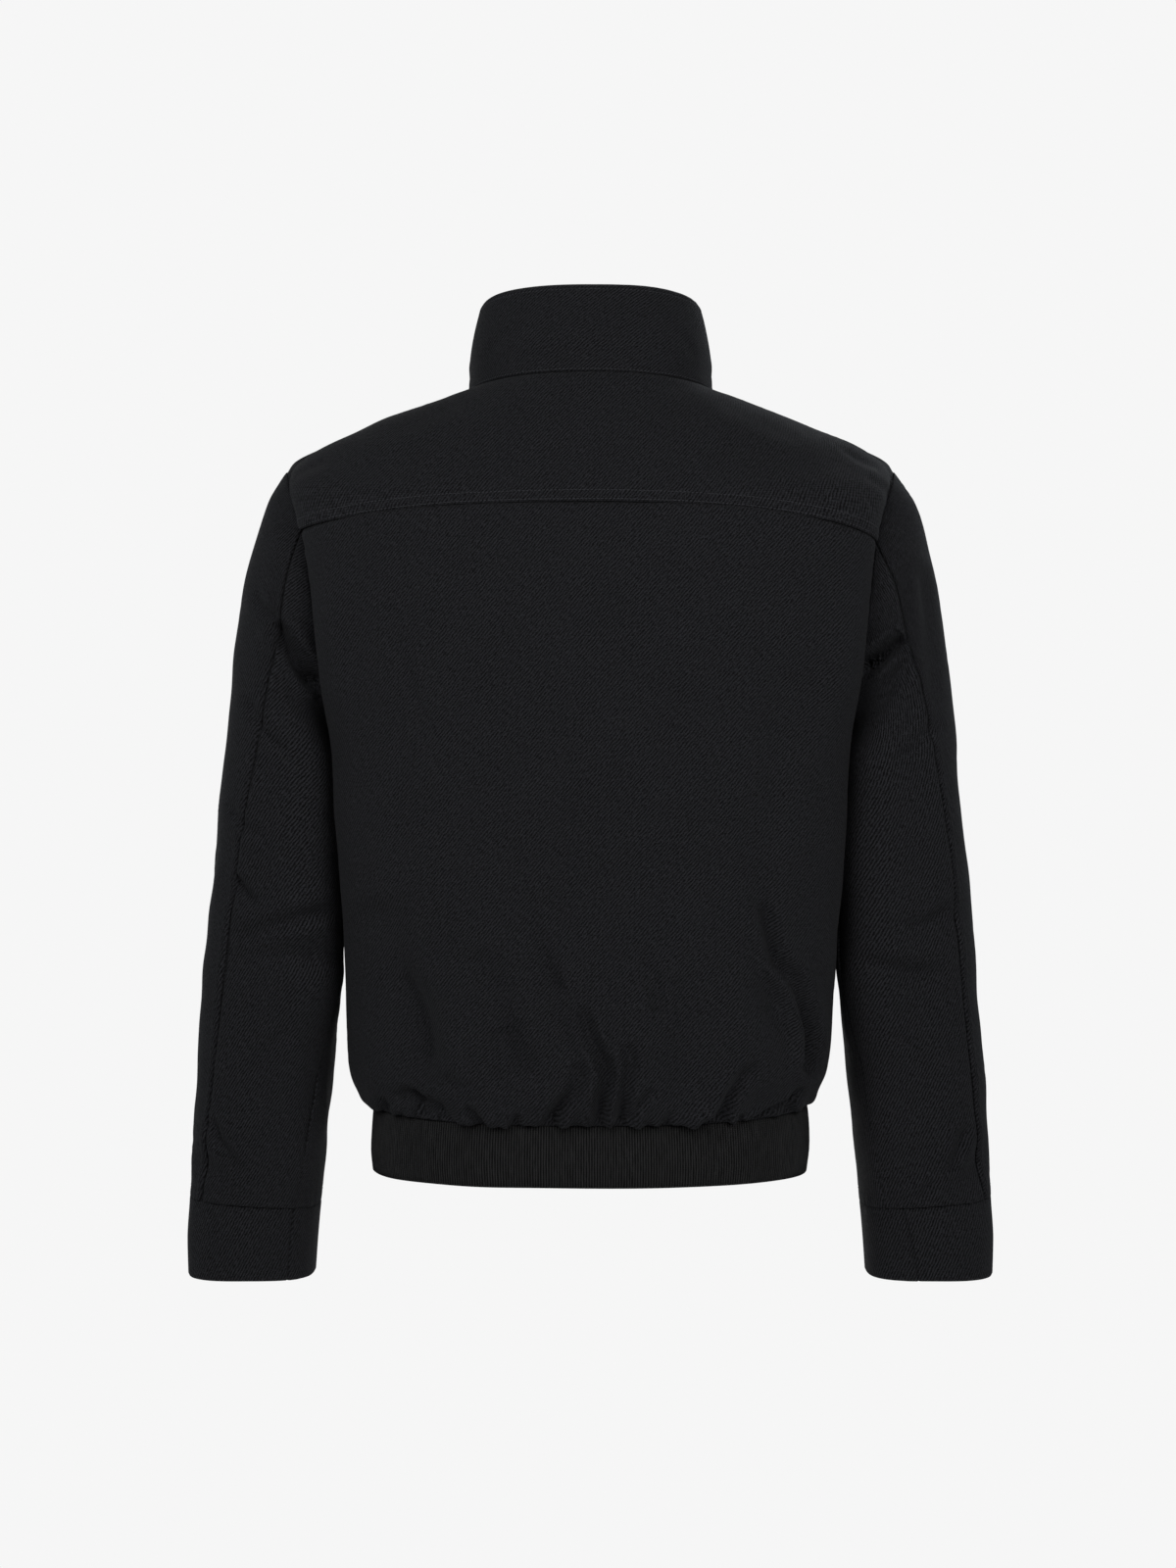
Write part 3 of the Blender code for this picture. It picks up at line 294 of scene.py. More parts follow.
# On the sleeves the places are (x from the middle, z), and on the collar (along, up) its cut.
SLEEVE_CREASES = {
    ("left", "back"): (
        (0.013, 0.015, 0.0058, 0.3, 0.5, (0.2386, -0.1852), (0.2348, -0.1957), (0.2273, -0.2091),
         (0.2191, -0.2211), (0.2108, -0.2316), (0.2056, -0.2346)),
        (0.0041, 0.002, 0.004, 0.4, 0.4, (0.24, -0.184), (0.25, -0.176), (0.256, -0.164)),
        (0.0046, 0.0015, 0.0036, 0.5, 0.5, (0.2708, -0.3852), (0.263, -0.396), (0.2543, -0.4031)),
        (0.0026, 0.0056, 0.006, 0.5, 0.4, (0.27, -0.43), (0.245, -0.42), (0.212, -0.408)),
        (0.0015, 0.0076, 0.01, 0.3, 0.3, (0.245, -0.448), (0.2303, -0.4458), (0.2131, -0.444)),
        (0.0046, 0.002, 0.0045, 0.4, 0.4, (0.291, -0.5746), (0.2857, -0.5889), (0.2768, -0.6016),
         (0.264, -0.6158)),
        (0.0026, 0.002, 0.0045, 0.4, 0.4, (0.26, -0.25), (0.245, -0.275), (0.225, -0.29)),
        (0.0026, 0.0015, 0.004, 0.4, 0.4, (0.275, -0.33), (0.262, -0.345), (0.245, -0.352)),
        (0.002, 0.002, 0.005, 0.4, 0.4, (0.23, -0.5), (0.248, -0.515), (0.262, -0.535)),
    ),
    ("left", "front"): (
        (0.0102, 0.0026, 0.006, 0.5, 0.5, (0.209, -0.235), (0.228, -0.215), (0.245, -0.18)),
        (0.0076, 0.002, 0.006, 0.5, 0.5, (0.205, -0.29), (0.23, -0.275), (0.255, -0.26)),
        (0.0076, 0.0036, 0.007, 0.6, 0.5, (0.206, -0.37), (0.235, -0.38), (0.27, -0.365)),
        (0.0087, 0.0036, 0.007, 0.5, 0.6, (0.208, -0.425), (0.24, -0.415), (0.28, -0.425)),
        (0.0051, 0.0026, 0.006, 0.4, 0.4, (0.22, -0.485), (0.25, -0.475), (0.285, -0.49)),
        (0.0036, 0.0026, 0.005, 0.4, 0.4, (0.23, -0.615), (0.255, -0.6), (0.285, -0.608)),
    ),
    ("right", "back"): (
        (0.012, 0.014, 0.0055, 0.3, 0.5, (0.24, -0.199), (0.2386, -0.2009), (0.2266, -0.2091),
         (0.2161, -0.2174), (0.208, -0.2226)),
        (0.0031, 0.002, 0.006, 0.2, 0.9, (0.256, -0.1537), (0.26, -0.2211), (0.258, -0.2473)),
        (0.0031, 0.0015, 0.004, 0.4, 0.4, (0.27, -0.408), (0.258, -0.417), (0.24, -0.42)),
        (0.002, 0.0041, 0.007, 0.4, 0.4, (0.275, -0.45), (0.25, -0.456), (0.22, -0.448)),
        (0.0041, 0.002, 0.0045, 0.4, 0.4, (0.2902, -0.5806), (0.285, -0.598), (0.279, -0.6143)),
        (0.0031, 0.0015, 0.004, 0.4, 0.4, (0.264, -0.622), (0.256, -0.63), (0.248, -0.634)),
        (0.0026, 0.002, 0.005, 0.4, 0.4, (0.262, -0.265), (0.245, -0.285), (0.228, -0.295)),
        (0.002, 0.0015, 0.005, 0.4, 0.4, (0.235, -0.505), (0.252, -0.52), (0.268, -0.542)),
    ),
    ("right", "front"): (
        (0.0102, 0.0026, 0.006, 0.5, 0.5, (0.209, -0.23), (0.226, -0.208), (0.242, -0.176)),
        (0.0076, 0.002, 0.006, 0.5, 0.5, (0.205, -0.285), (0.232, -0.28), (0.26, -0.268)),
        (0.0076, 0.0036, 0.007, 0.6, 0.5, (0.206, -0.385), (0.238, -0.39), (0.272, -0.375)),
        (0.0087, 0.0036, 0.007, 0.5, 0.6, (0.208, -0.44), (0.242, -0.43), (0.28, -0.44)),
        (0.0051, 0.0026, 0.006, 0.4, 0.4, (0.22, -0.5), (0.252, -0.495), (0.288, -0.505)),
        (0.0036, 0.0026, 0.005, 0.4, 0.4, (0.228, -0.61), (0.252, -0.596), (0.282, -0.602)),
    ),
}
COLLAR_CREASES = (
    (0.0006, 0.0008, 0.005, 0.4, 0.4, (-0.03, 0.012), (-0.005, 0.016), (0.03, 0.013)),
    (0.0006, 0.0006, 0.005, 0.4, 0.4, (0.05, 0.04), (0.075, 0.03), (0.095, 0.018)),
    (0.0006, 0.0006, 0.005, 0.4, 0.4, (-0.055, 0.044), (-0.078, 0.032), (-0.096, 0.02)),
    (0.0008, 0.0006, 0.0045, 0.4, 0.4, (0.15, 0.01), (0.165, 0.025), (0.172, 0.045)),
    (0.0008, 0.0006, 0.0045, 0.4, 0.4, (-0.148, 0.012), (-0.162, 0.028), (-0.17, 0.048)),
)

# What the shells add to the solids' form: the shoulder's end is rounder, and the sleeve is fuller.
SHOULDER_ROUND = 0.0036
FULLNESS = 0.0105
FULL_TURN = 134.0
# Where a surface turns too sharply between its rows. Columns: row, reach, amount.
EASED_ROWS = ((SHOULDER_ROW, 0.95, 0.27), (6.5, 1.2, 0.90))
SIDE_SHARE = 0.04

# How long a row is: over the hem, at the yoke's seam, at the neck behind and before, at the
# armhole, above the cuff and in it. Then half the back's width, a row over the shoulder and a
# degree round a cuff.
HEM_LONG, YOKE_LONG, NECK_LONG, FRONT_NECK_LONG = 0.012, 0.066, 0.024, 0.02
HEAD_LONG, SLEEVE_END_LONG, CUFF_LONG = 0.03, 0.055, 0.028
HALF_BACK = 0.26
SHOULDER_ROW_LONG = 0.048
CUFF_DEGREE = 0.00085

# Sewing.
STITCH_PITCH = 0.0030
STITCH_LENGTH = 0.0023
THREAD = 0.00030
STITCH_SINK, STITCH_SINK_WIDTH = 0.00035, 0.0011
EDGE_STITCH = 0.0016
YOKE_SECOND_STITCH = 0.0085
ARM_STITCH = 0.0030
ZIP_STITCH = 0.0062
SLEEVE_STITCH = 0.0026
CUFF_STITCH = 0.0095
COLLAR_STITCH = 0.0045
SLEEVE_SEAM_GAP = 0.0007
CUFF_GAP = 0.00012
# The turn of a cuff's seam at the top, and how much less it is a row down.
CUFF_SEAM = {"left": (128.5, 0.5), "right": (115.0, 5.0)}
ALLOWANCE = 0.0005
ALLOWANCE_NEAR, ALLOWANCE_REACH = 0.0012, 0.0075
ALLOWANCE_STEP = 0.004
RIB_ROUND = 0.93
RIB_PITCH = 0.0020
RIB_HEIGHT = 0.00070
# In the knit the pitch of the loops and how far their V leans, and the pitch of a thread's twist.
LOOP_PITCH, LOOP_LEAN, PLY_PITCH = 0.0014, 0.0009, 0.0006
# The edge of a body panel that is sewn at the side and to the sleeve, and the one along the zip.
SEAM_EDGE = {"left": "last", "right": "first"}
ZIP_EDGE = {"left": "first", "right": "last"}


# Curves and surfaces, for many points at once.


def slopes_of(rows):
    step = np.diff(rows, axis=0)
    slopes = np.zeros_like(rows)
    slopes[0], slopes[-1] = step[0], step[-1]
    before, after = step[:-1], step[1:]
    product, total = before * after, before + after
    safe = np.where(product > 0, total, 1.0)
    slopes[1:-1] = np.where(product > 0, 2 * product / safe, 0.0)
    return slopes


def through(rows, at):
    """The values of a table at places between its rows: rows is (n, k), or (n, m, k) for m places."""
    rows = np.asarray(rows, float)
    slopes = slopes_of(rows)
    at = np.clip(at, 0, len(rows) - 1)
    low = np.minimum(at.astype(int), len(rows) - 2)
    t = (at - low)[:, None]

    def pick(table, row):
        return table[row] if table.ndim == 2 else table[row, np.arange(len(at))]

    return (
        pick(rows, low) * (1 + 2 * t) * (1 - t) ** 2
        + pick(slopes, low) * t * (1 - t) ** 2
        + pick(rows, low + 1) * t * t * (3 - 2 * t)
        + pick(slopes, low + 1) * t * t * (t - 1)
    )


def at_place(rows, place):
    rows = np.asarray(rows, float)
    knots = rows[:, 0]
    low = np.clip(np.searchsorted(knots, place, side="right") - 1, 0, len(knots) - 2)
    t = (place - knots[low]) / (knots[low + 1] - knots[low])
    return through(rows[:, 1:], low + np.clip(t, 0, 1))


def half_turn(turn):
    """The same turn between -180 and 180 degrees."""
    return (turn + 180) % 360 - 180


def armhole(turn):
    rows = np.asarray(ARMHOLE, float)
    before, after = rows[-2] - [360, 0, 0, 0], rows[1] + [360, 0, 0, 0]
    return at_place(np.vstack((before, rows, after)), half_turn(turn))


def superellipse(share, square):
    """How far across and how far out a rounded row is, from its middle, 0, to its end, 1."""
    bend = square / 2
    share = np.clip(share, 0, 1)
    even = share**bend / (share**bend + (1 - share) ** bend)
    angle = even * math.pi / 2
    return np.sin(angle) ** (2 / square), np.clip(np.cos(angle), 0, 1) ** (2 / square)


def share_across(across, square):
    """The other way round: the share at which superellipse has gone so far across."""
    bend = square / 2
    even = math.asin(across**bend) / (math.pi / 2)
    ahead = even ** (1 / bend)
    return ahead / (ahead + (1 - even) ** (1 / bend))


def smooth(t):
    t = np.clip(t, 0, 1)
    return t * t * (3 - 2 * t)


def unit(vectors):
    return vectors / np.maximum(np.linalg.norm(vectors, axis=-1), 1e-12)[..., None]


def run_of(points):
    """How far along a line each of its points is."""
    return np.concatenate(([0], np.cumsum(np.linalg.norm(np.diff(points, axis=0), axis=1))))


def body_base(rows):
    """The surface of the back or the front by place across, from -1 to 1, and row."""

    def surface(across, row):
        mid_y, mid_z, side_x, side_z, turn, widest, square = through(rows, row).T
        low = np.stack((side_x, np.zeros_like(side_x), side_z), 1)
        start, end = SHOULDER_SEAM_Y
        share = (row - SHOULDER_ROW) / (NECK_ROW - SHOULDER_ROW)
        high = np.stack((side_x, start + (end - start) * share, side_z), 1)
        edge = np.where((row <= ARMPIT_ROW)[:, None], low, armhole(turn))
        edge = np.where((row > SHOULDER_ROW)[:, None], high, edge)
        out, along = superellipse(np.abs(across), square)
        y = edge[:, 1] + (mid_y - edge[:, 1]) * along
        reach = np.maximum(UNDERARM_REACH - np.abs(edge[:, 1]), LEAST_UNDERARM_REACH)
        near = 1 - smooth(np.abs(y - edge[:, 1]) / reach)
        x = widest * out - (widest - edge[:, 0]) * near
        z = mid_z + (edge[:, 2] - mid_z) * (1 - along * along)
        return np.stack((np.copysign(x, across), y, z), 1)

    return surface


back_surface, front_surface = body_base(BACK_ROWS), body_base(FRONT_ROWS)


def ring_points(section, turn):
    inner_x, inner_z, outer_x, outer_z, mid_y, half_depth, square = section
    out, back = np.cos(np.radians(turn)), np.sin(np.radians(turn))
    reach = (np.abs(out) ** square + np.abs(back) ** square) ** (-1 / square)
    share = (1 + out * reach) / 2
    x, z = inner_x + (outer_x - inner_x) * share, inner_z + (outer_z - inner_z) * share
    return np.stack((x, mid_y + half_depth * back * reach, z), 1)


def tube_base(side, sections, *head):
    """The surface of a sleeve or a cuff by turn and row, with a head's ring above the sections."""

    def surface(turn, row):
        rings = [ring(turn) for ring in head] + [ring_points(section, turn) for section in sections]
        return through(np.stack(rings), row) * [SIDES[side], 1, 1]

    return surface


def hem_base(along, row):
    """The surface of the rib band by place around, from -1 to 1, and row."""
    mid_z, side_z, half_width, half_depth = through(HEM_ROWS, row).T
    behind = np.abs(along) <= 0.5
    across = np.where(behind, np.abs(along) * 2, 2 * (1 - np.abs(along)))
    out, back = superellipse(across, HEM_SQUARE)
    y = half_depth * back * np.where(behind, 1, -1)
    z = mid_z + (side_z - mid_z) * (1 - back * back)
    return np.stack((np.copysign(half_width * out, along), y, z), 1)


def collar_base(along, up):
    """The surface of the collar by place around, from -1 to 1, and share up."""
    up = up[:, None]
    far = np.abs(along)
    behind = far <= COLLAR_BACK_SHARE
    across = np.where(behind, far / COLLAR_BACK_SHARE, (1 - far) / (1 - COLLAR_BACK_SHARE))
    signed = np.copysign(across, along)
    neck = np.full(len(along), NECK_ROW)
    foot = np.where(behind[:, None], back_surface(signed, neck), front_surface(signed, neck))
    edge_x, edge_y, edge_z = COLLAR_TOP["side"]
    tops = []
    for face in ("back", "front"):
        mid_y, mid_z = COLLAR_TOP[face]
        out, back = superellipse(across, COLLAR_SQUARE[face])
        y, z = edge_y + (mid_y - edge_y) * back, mid_z + (edge_z - mid_z) * (1 - back**COLLAR_LEVEL)
        tops.append(np.stack((np.copysign(edge_x * out, along), y, z), 1))
    top = np.where(behind[:, None], tops[0], tops[1])
    outward = foot * [1, 1, 0]
    outward /= np.linalg.norm(outward, axis=1)[:, None]
    bow = (COLLAR_BOW * smooth((1 - far) / COLLAR_FLAT_SHARE))[:, None]
    return foot + (top - foot) * up + outward * bow * np.sin(math.pi * up)


def grid_normals(points, flip, closed):
    if closed:
        across = np.roll(points, -1, 1) - np.roll(points, 1, 1)
    else:
        across = np.gradient(points, axis=1)
    return unit(np.cross(across, np.gradient(points, axis=0))) * (-1 if flip else 1)


def ease(points, amount, rounds=200):
    """Irons a grid along its columns, by as much as amount says at each point."""
    points = points.copy()
    for _ in range(rounds):
        middle = (points[:-2] + points[2:]) / 2
        points[1:-1] += (middle - points[1:-1]) * amount[1:-1, :, None]
    return points


def odd(count):
    return int(count) | 1


def even_places(surface, fixed, start, end, count, dense_start=1.0):
    """Rows from start to end that are evenly spaced on the surface, or denser at the start."""
    fine = np.linspace(start, end, 600)
    length = run_of(surface(np.full(600, fixed), fine))
    t = np.linspace(0, 1, count)
    t = t * (1 / dense_start) + (1 - 1 / dense_start) * t * t
    return np.interp(t / t[-1] * length[-1], length, fine)


def stretched(values, low, high):
    """The same values, stretched to go from low to high."""
    return low + (high - low) * ((values - values[0]) / (values[-1] - values[0]))


def denser_ends(count, strength=0.11):
    """Shares from 0 to 1 that are closer together near both ends."""
    t = np.linspace(0, 1, count)
    return t - strength * np.sin(2 * math.pi * t)


# Relief: how far the cloth stands out of the plain surface.


def crest(distance, width):
    return 1 - smooth(np.abs(distance) / width)


def large_folds(folds, first, second, stretch=1.0):
    relief = np.zeros_like(first)
    for from_a, from_b, to_a, to_b, bow, width, height in folds:
        run_a, run_b = (to_a - from_a) * stretch, to_b - from_b
        long = math.hypot(run_a, run_b)
        at_a, at_b = (first - from_a) * stretch, second - from_b
        along = (at_a * run_a + at_b * run_b) / long**2
        aside = (at_a * run_b - at_b * run_a) / long + bow * np.sin(math.pi * np.clip(along, 0, 1))
        relief += height * crest(aside, width) * crest(along - 0.5, FOLD_REACH)
    return relief


def curve_through(points, pieces=8):
    """A smooth line through points, as Catmull and Rom draw it."""
    points = np.asarray(points, float)
    padded = np.vstack((2 * points[0] - points[1], points, 2 * points[-1] - points[-2]))
    line = []
    for i in range(len(points) - 1):
        a, b, c, d = padded[i : i + 4]
        square, cube = 2 * a - 5 * b + 4 * c - d, 3 * b - a - 3 * c + d
        for t in np.linspace(0, 1, pieces, endpoint=False):
            line.append((2 * b + (c - a) * t + square * t**2 + cube * t**3) / 2)
    return np.vstack((line, points[-1]))


def crease_relief(creases, x, z):
    """Sharp valleys with a soft ridge on each side, along lines in the plane of x and z."""
    relief, all_x, all_z = np.zeros(x.size), x.ravel(), z.ravel()
    for start_depth, end_depth, width, left, right, *points in creases:
        line = curve_through(points)
        low, high = line.min(0) - 4 * width, line.max(0) + 4 * width
        inside = (all_x > low[0]) & (all_x < high[0]) & (all_z > low[1]) & (all_z < high[1])
        near = np.flatnonzero(inside)
        if not len(near):
            continue
        px, pz = all_x[near], all_z[near]
        best = np.full(len(near), 1e9)
        aside, along = np.zeros(len(near)), np.zeros(len(near))
        gone = run_of(line)
        for i, (ax, az) in enumerate(line[:-1]):
            run = line[i + 1] - line[i]
            size = float(run @ run)
            t = np.clip(((px - ax) * run[0] + (pz - az) * run[1]) / size, 0, 1)
            gap = np.hypot(px - ax - run[0] * t, pz - az - run[1] * t)
            side = np.sign(run[0] * (pz - az) - run[1] * (px - ax))
            closer = gap < best
            best = np.where(closer, gap, best)
            aside = np.where(closer, gap * side, aside)
            along = np.where(closer, (gone[i] + math.sqrt(size) * t) / gone[-1], along)
        depth = start_depth + (end_depth - start_depth) * along
        depth *= smooth(along / 0.12 + 0.6 * (start_depth > end_depth))
        depth *= smooth((1 - along) / 0.12 + 0.6 * (end_depth > start_depth))
        valley = np.exp(-((best / width) ** 2))
        ridge = np.exp(-(((best - 1.9 * width) / (1.1 * width)) ** 2))
        relief[near] += depth * (ridge * np.where(aside > 0, left, right) - valley)
    return relief.reshape(x.shape)


def ripples(x, y, size, count=14):
    """A smooth uneven field of about unit height, with features of that size in metres."""
    field = np.zeros_like(x)
    for _ in range(count):
        angle, phase = FIELD.uniform(0, 2 * math.pi, 2)
        wave = 2 * math.pi / (size * FIELD.uniform(1.3, 3.0))
        field += np.sin((x * math.cos(angle) + y * math.sin(angle)) * wave + phase)
    return field / math.sqrt(count / 2)


def cloth_life(u, v, scale=1.0):
    """The unevenness that all the cloth has: slow waves and small soft wrinkles in places."""
    slow = ripples(u, v, 0.060) * 0.00042
    middling = ripples(u, v, 0.024) * 0.00016
    places = smooth(ripples(u, v, 0.050) * 0.5 + 0.3)
    small = (0.5 - np.abs(ripples(u, v, 0.0085))) * 0.00010 * places
    return scale * (slow + middling + small)


def puckers(along, distance, pitch, height, reach):
    """Ripples across a seam, of a pitch and a height, that die out over a reach from it."""
    wander = ripples(along, along * 0 + 0.3, pitch * 2.2) * 1.1
    wave = np.sin(2 * math.pi * along / pitch + wander)
    strength = 0.55 + 0.45 * np.clip(ripples(along, along * 0 + 0.7, pitch * 4), -1, 1)
    return height * wave * strength * np.exp(-distance / reach)


def shared(field, *values):
    """A field whose random draws are made again by what follows, so that neighbours share it."""
    state = FIELD.bit_generator.state
    made = field(*values)
    FIELD.bit_generator.state = state
    return made


def tied(*distances, reach=0.0035):
    """Full inside a panel, and nothing on its sewn edges."""
    share = 1.0
    for distance in distances:
        share = share * smooth(distance / reach)
    return share


def swell(distance, at, height, width):
    """A soft rise, or a hollow, along a line at a distance from an edge."""
    return height * np.exp(-(((distance - at) / width) ** 2))


def seam_roll(distance, depth=0.0008, width=0.0016):
    """The cloth turns in at a seam, by a depth and over a width."""
    return swell(distance, 0, -depth, width)


def stitched(distance, at):
    """The shallow channel that a line of stitches pulls in."""
    return swell(distance, at, -STITCH_SINK, STITCH_SINK_WIDTH)


# Meshes.


class Panel:
    """A grid of points on a surface, with its edges' distances and its cut's coordinates."""

    def __init__(self, surface, a, b, flip, closed=False, eased=None):
        self.a, self.b = np.broadcast_arrays(a, b)
        self.rows, self.columns = self.a.shape
        self.flip, self.closed = flip, closed
        self.base = surface(self.a.ravel(), self.b.ravel()).reshape(*self.a.shape, 3)
        if eased is not None:
            self.base = ease(self.base, eased)
        self.normal = grid_normals(self.base, flip, closed)
        self.x, self.z = self.base[..., 0], self.base[..., 2]
        across = np.linalg.norm(np.diff(self.base, axis=1), axis=2)
        up = np.linalg.norm(np.diff(self.base, axis=0), axis=2)
        self.from_first = np.pad(np.cumsum(across, 1), ((0, 0), (1, 0)))
        self.from_last = self.from_first[:, -1:] - self.from_first
        self.from_low = np.pad(np.cumsum(up, 0), ((1, 0), (0, 0)))
        self.from_high = self.from_low[-1:] - self.from_low
        middle = self.columns // 2
        self.u = self.from_first - self.from_first[:, [middle]]
        self.v = np.repeat(self.from_low[:, [middle]], self.columns, 1)
        self.relief = np.zeros(self.a.shape)

    @property
    def outer(self):
        return self.base + self.normal * self.relief[..., None]

    @property
    def inside(self):
        """The share of the way in from the sides, on a body panel."""
        return 1 - np.abs(self.a)


def placed(name, data, place=(0, 0, 0)):
    made = bpy.data.objects.new(name, data)
    made.location = place
    bpy.context.scene.collection.objects.link(made)
    return made


def mesh_of(name, points, faces, uvs, material, smooth_faces=True):
    """An object from points and lists of faces of equal size. uvs is one (u, v) for each point."""
    made = bpy.data.meshes.new(name)
    lists = [face for group in faces for face in np.asarray(group).tolist()]
    made.from_pydata(np.asarray(points).tolist(), [], lists)
    layer = made.uv_layers.new(name="Cut")
    corners = np.zeros(len(made.loops), np.int32)
    made.loops.foreach_get("vertex_index", corners)
    layer.data.foreach_set("uv", np.asarray(uvs, np.float32)[corners].ravel())
    made.polygons.foreach_set("use_smooth", np.full(len(made.polygons), smooth_faces))
    made.materials.append(material)
    made.update()
    made.validate()
    return placed(name, made)


def dressed(piece, stands_for=None, body="jacket"):
    """Gives a piece its body, and hides the node that it stands for where there is one."""
    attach(piece, body)
    if stands_for:
        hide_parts(stands_for)
    return piece


def shell(panel, name, stands_for, material, thickness=CLOTH):
    """A panel's piece: its outer face, an inner face at half its fineness, and what joins them."""
    panel.thickness = thickness
    rows, columns = panel.rows, panel.columns
    coarse = np.ix_(np.arange(0, rows, 2), np.arange(0, columns, 2))
    inner = (panel.outer - panel.normal * thickness)[coarse]
    number = np.arange(rows * columns).reshape(rows, columns)
    inside = rows * columns + np.arange(inner[..., 0].size).reshape(inner.shape[:2])
    if panel.closed:
        number, inside = (np.concatenate((grid, grid[:, :1]), 1) for grid in (number, inside))
    n, m = number, inside
    quads = np.stack((n[:-1, :-1], n[:-1, 1:], n[1:, 1:], n[1:, :-1]), 2).reshape(-1, 4)
    backs = np.stack((m[:-1, :-1], m[1:, :-1], m[1:, 1:], m[:-1, 1:]), 2).reshape(-1, 4)

    def rim(edge, inner_edge):
        return np.stack((edge[:-2:2], edge[1:-1:2], edge[2::2], inner_edge[1:], inner_edge[:-1]), 1)

    groups = [quads, backs, rim(n[0], m[0])[:, ::-1], rim(n[-1], m[-1])]
    if not panel.closed:
        groups += [rim(n[:, 0], m[:, 0]), rim(n[:, -1], m[:, -1])[:, ::-1]]
    if not panel.flip:
        groups = [group[:, ::-1] for group in groups]
    flat = np.stack((panel.u, panel.v), 2)
    points, uvs = (
        np.vstack((fine.reshape(-1, size), rough.reshape(-1, size)))
        for fine, rough, size in ((panel.outer, inner, 3), (flat, flat[coarse], 2))
    )
    panel.piece = dressed(mesh_of(name, points, groups, uvs, material), stands_for)
    return panel


def block_faces(levels, sides, many, count=0):
    """The faces of many closed blocks, whose points are stored level by level for all at once."""
    block = np.arange(levels * sides) * many + np.arange(many)[:, None] + count
    faces = []
    for low in range(0, (levels - 1) * sides, sides):
        for i in range(sides):
            j = (i + 1) % sides
            faces.append(block[:, [low + i, low + j, low + sides + j, low + sides + i]])
    return faces + [block[:, sides - 1 :: -1], block[:, -sides:]]


# Materials.


class Shading:
    """A material, with short ways to make and join its nodes."""

    def __init__(self, name):
        self.material = bpy.data.materials.new(name)
        self.material.use_nodes = True
        self.nodes, self.links = self.material.node_tree.nodes, self.material.node_tree.links
        self.shader = self.nodes["Principled BSDF"]

    def node(self, kind, *values, output=0, **settings):
        """A new node's output. Values go to its inputs in order, and settings by their names."""
        made = self.nodes.new(f"ShaderNode{kind}")
        for key, value in settings.items():
            if key in made.bl_rna.properties:
                setattr(made, key, value)
            else:
                made.inputs[key].default_value = value
        for socket, value in zip(made.inputs, values):
            if isinstance(value, (int, float)):
                socket.default_value = value
            else:
                self.links.new(value, socket)
        return made.outputs[output]

    def add(self, first, second):
        return self.node("Math", first, second, operation="ADD")

    def times(self, first, second):
        return self.node("Math", first, second, operation="MULTIPLY")

    def sine(self, value):
        return self.node("Math", value, operation="SINE")

    def on_cut(self):
        """Where a point is on its cut piece, in metres: as a vector, across and up."""
        place = self.node("UVMap", uv_map="Cut")
        parts = self.node("SeparateXYZ", place).node
        return place, parts.outputs[0], parts.outputs[1]

    def noise(self, place, scale, strength, detail=2.0, roughness=0.6):
        """Noise about zero, of a scale and a strength."""
        found = self.node("TexNoise", place, output="Fac", Scale=scale, Detail=detail, Roughness=roughness)
        return self.times(self.node("Math", found, 0.5, operation="SUBTRACT"), strength)

    def coloured(self, shade, colour, dark, light, ends=(0.0, 1.0)):
        """The base colour runs from a dark share of a colour to a light one as shade rises."""
        ramp = self.node("ValToRGB", shade)
        for element, share, place in zip(ramp.node.color_ramp.elements, (dark, light), ends):
            element.position = place
            element.color = (*[part * share for part in colour], 1)
        self.links.new(ramp, self.shader.inputs["Base Color"])

    def bump(self, height, distance):
        relief = self.nodes.new("ShaderNodeBump")
        relief.inputs["Distance"].default_value = distance
        self.links.new(height, relief.inputs["Height"])
        self.links.new(relief.outputs[0], self.shader.inputs["Normal"])

    def finished(self, **values):
        for key, value in values.items():
            self.shader.inputs[key.replace("_", " ")].default_value = value
        return self.material


def woven(name, colour, angle, pitch, bump=0.00012, lines=0.65, streaks=1.5, grains=0.2):
    """Twill: diagonal lines at a pitch in metres, uneven in strength along and across, and broken
    up by the threads that cross them."""
    cloth = Shading(name)
    add, times, noise = cloth.add, cloth.times, cloth.noise
    place, u, v = cloth.on_cut()
    across = add(times(u, math.cos(angle)), times(v, math.sin(angle)))
    along = add(times(u, -math.sin(angle)), times(v, math.cos(angle)))
    drawn = cloth.node("CombineXYZ", across, times(along, 0.30))
    ridge = cloth.sine(add(times(across, 2 * math.pi / pitch), noise(place, 150.0, 5.0)))
    crossing = cloth.sine(times(v, 2 * math.pi / (pitch * 0.46)))
    weave = add(ridge, times(crossing, 0.4))
    grain = add(noise(place, 1100.0, 2.8, 2.0, 0.7), noise(place, 360.0, grains, 1.0, 0.5))
    rough = add(grain, noise(drawn, 1050.0, streaks, 1.0, 0.5))
    shade = add(add(times(weave, lines * 0.5), rough), noise(place, 22.0, 0.16, 3.0))
    cloth.coloured(add(shade, 0.5), colour, 0.10, 2.05)
    cloth.bump(add(weave, times(rough, 1.3)), bump)
    return cloth.finished(Roughness=0.88, Specular_IOR_Level=0.10, Sheen_Weight=0.02, Sheen_Roughness=0.5)


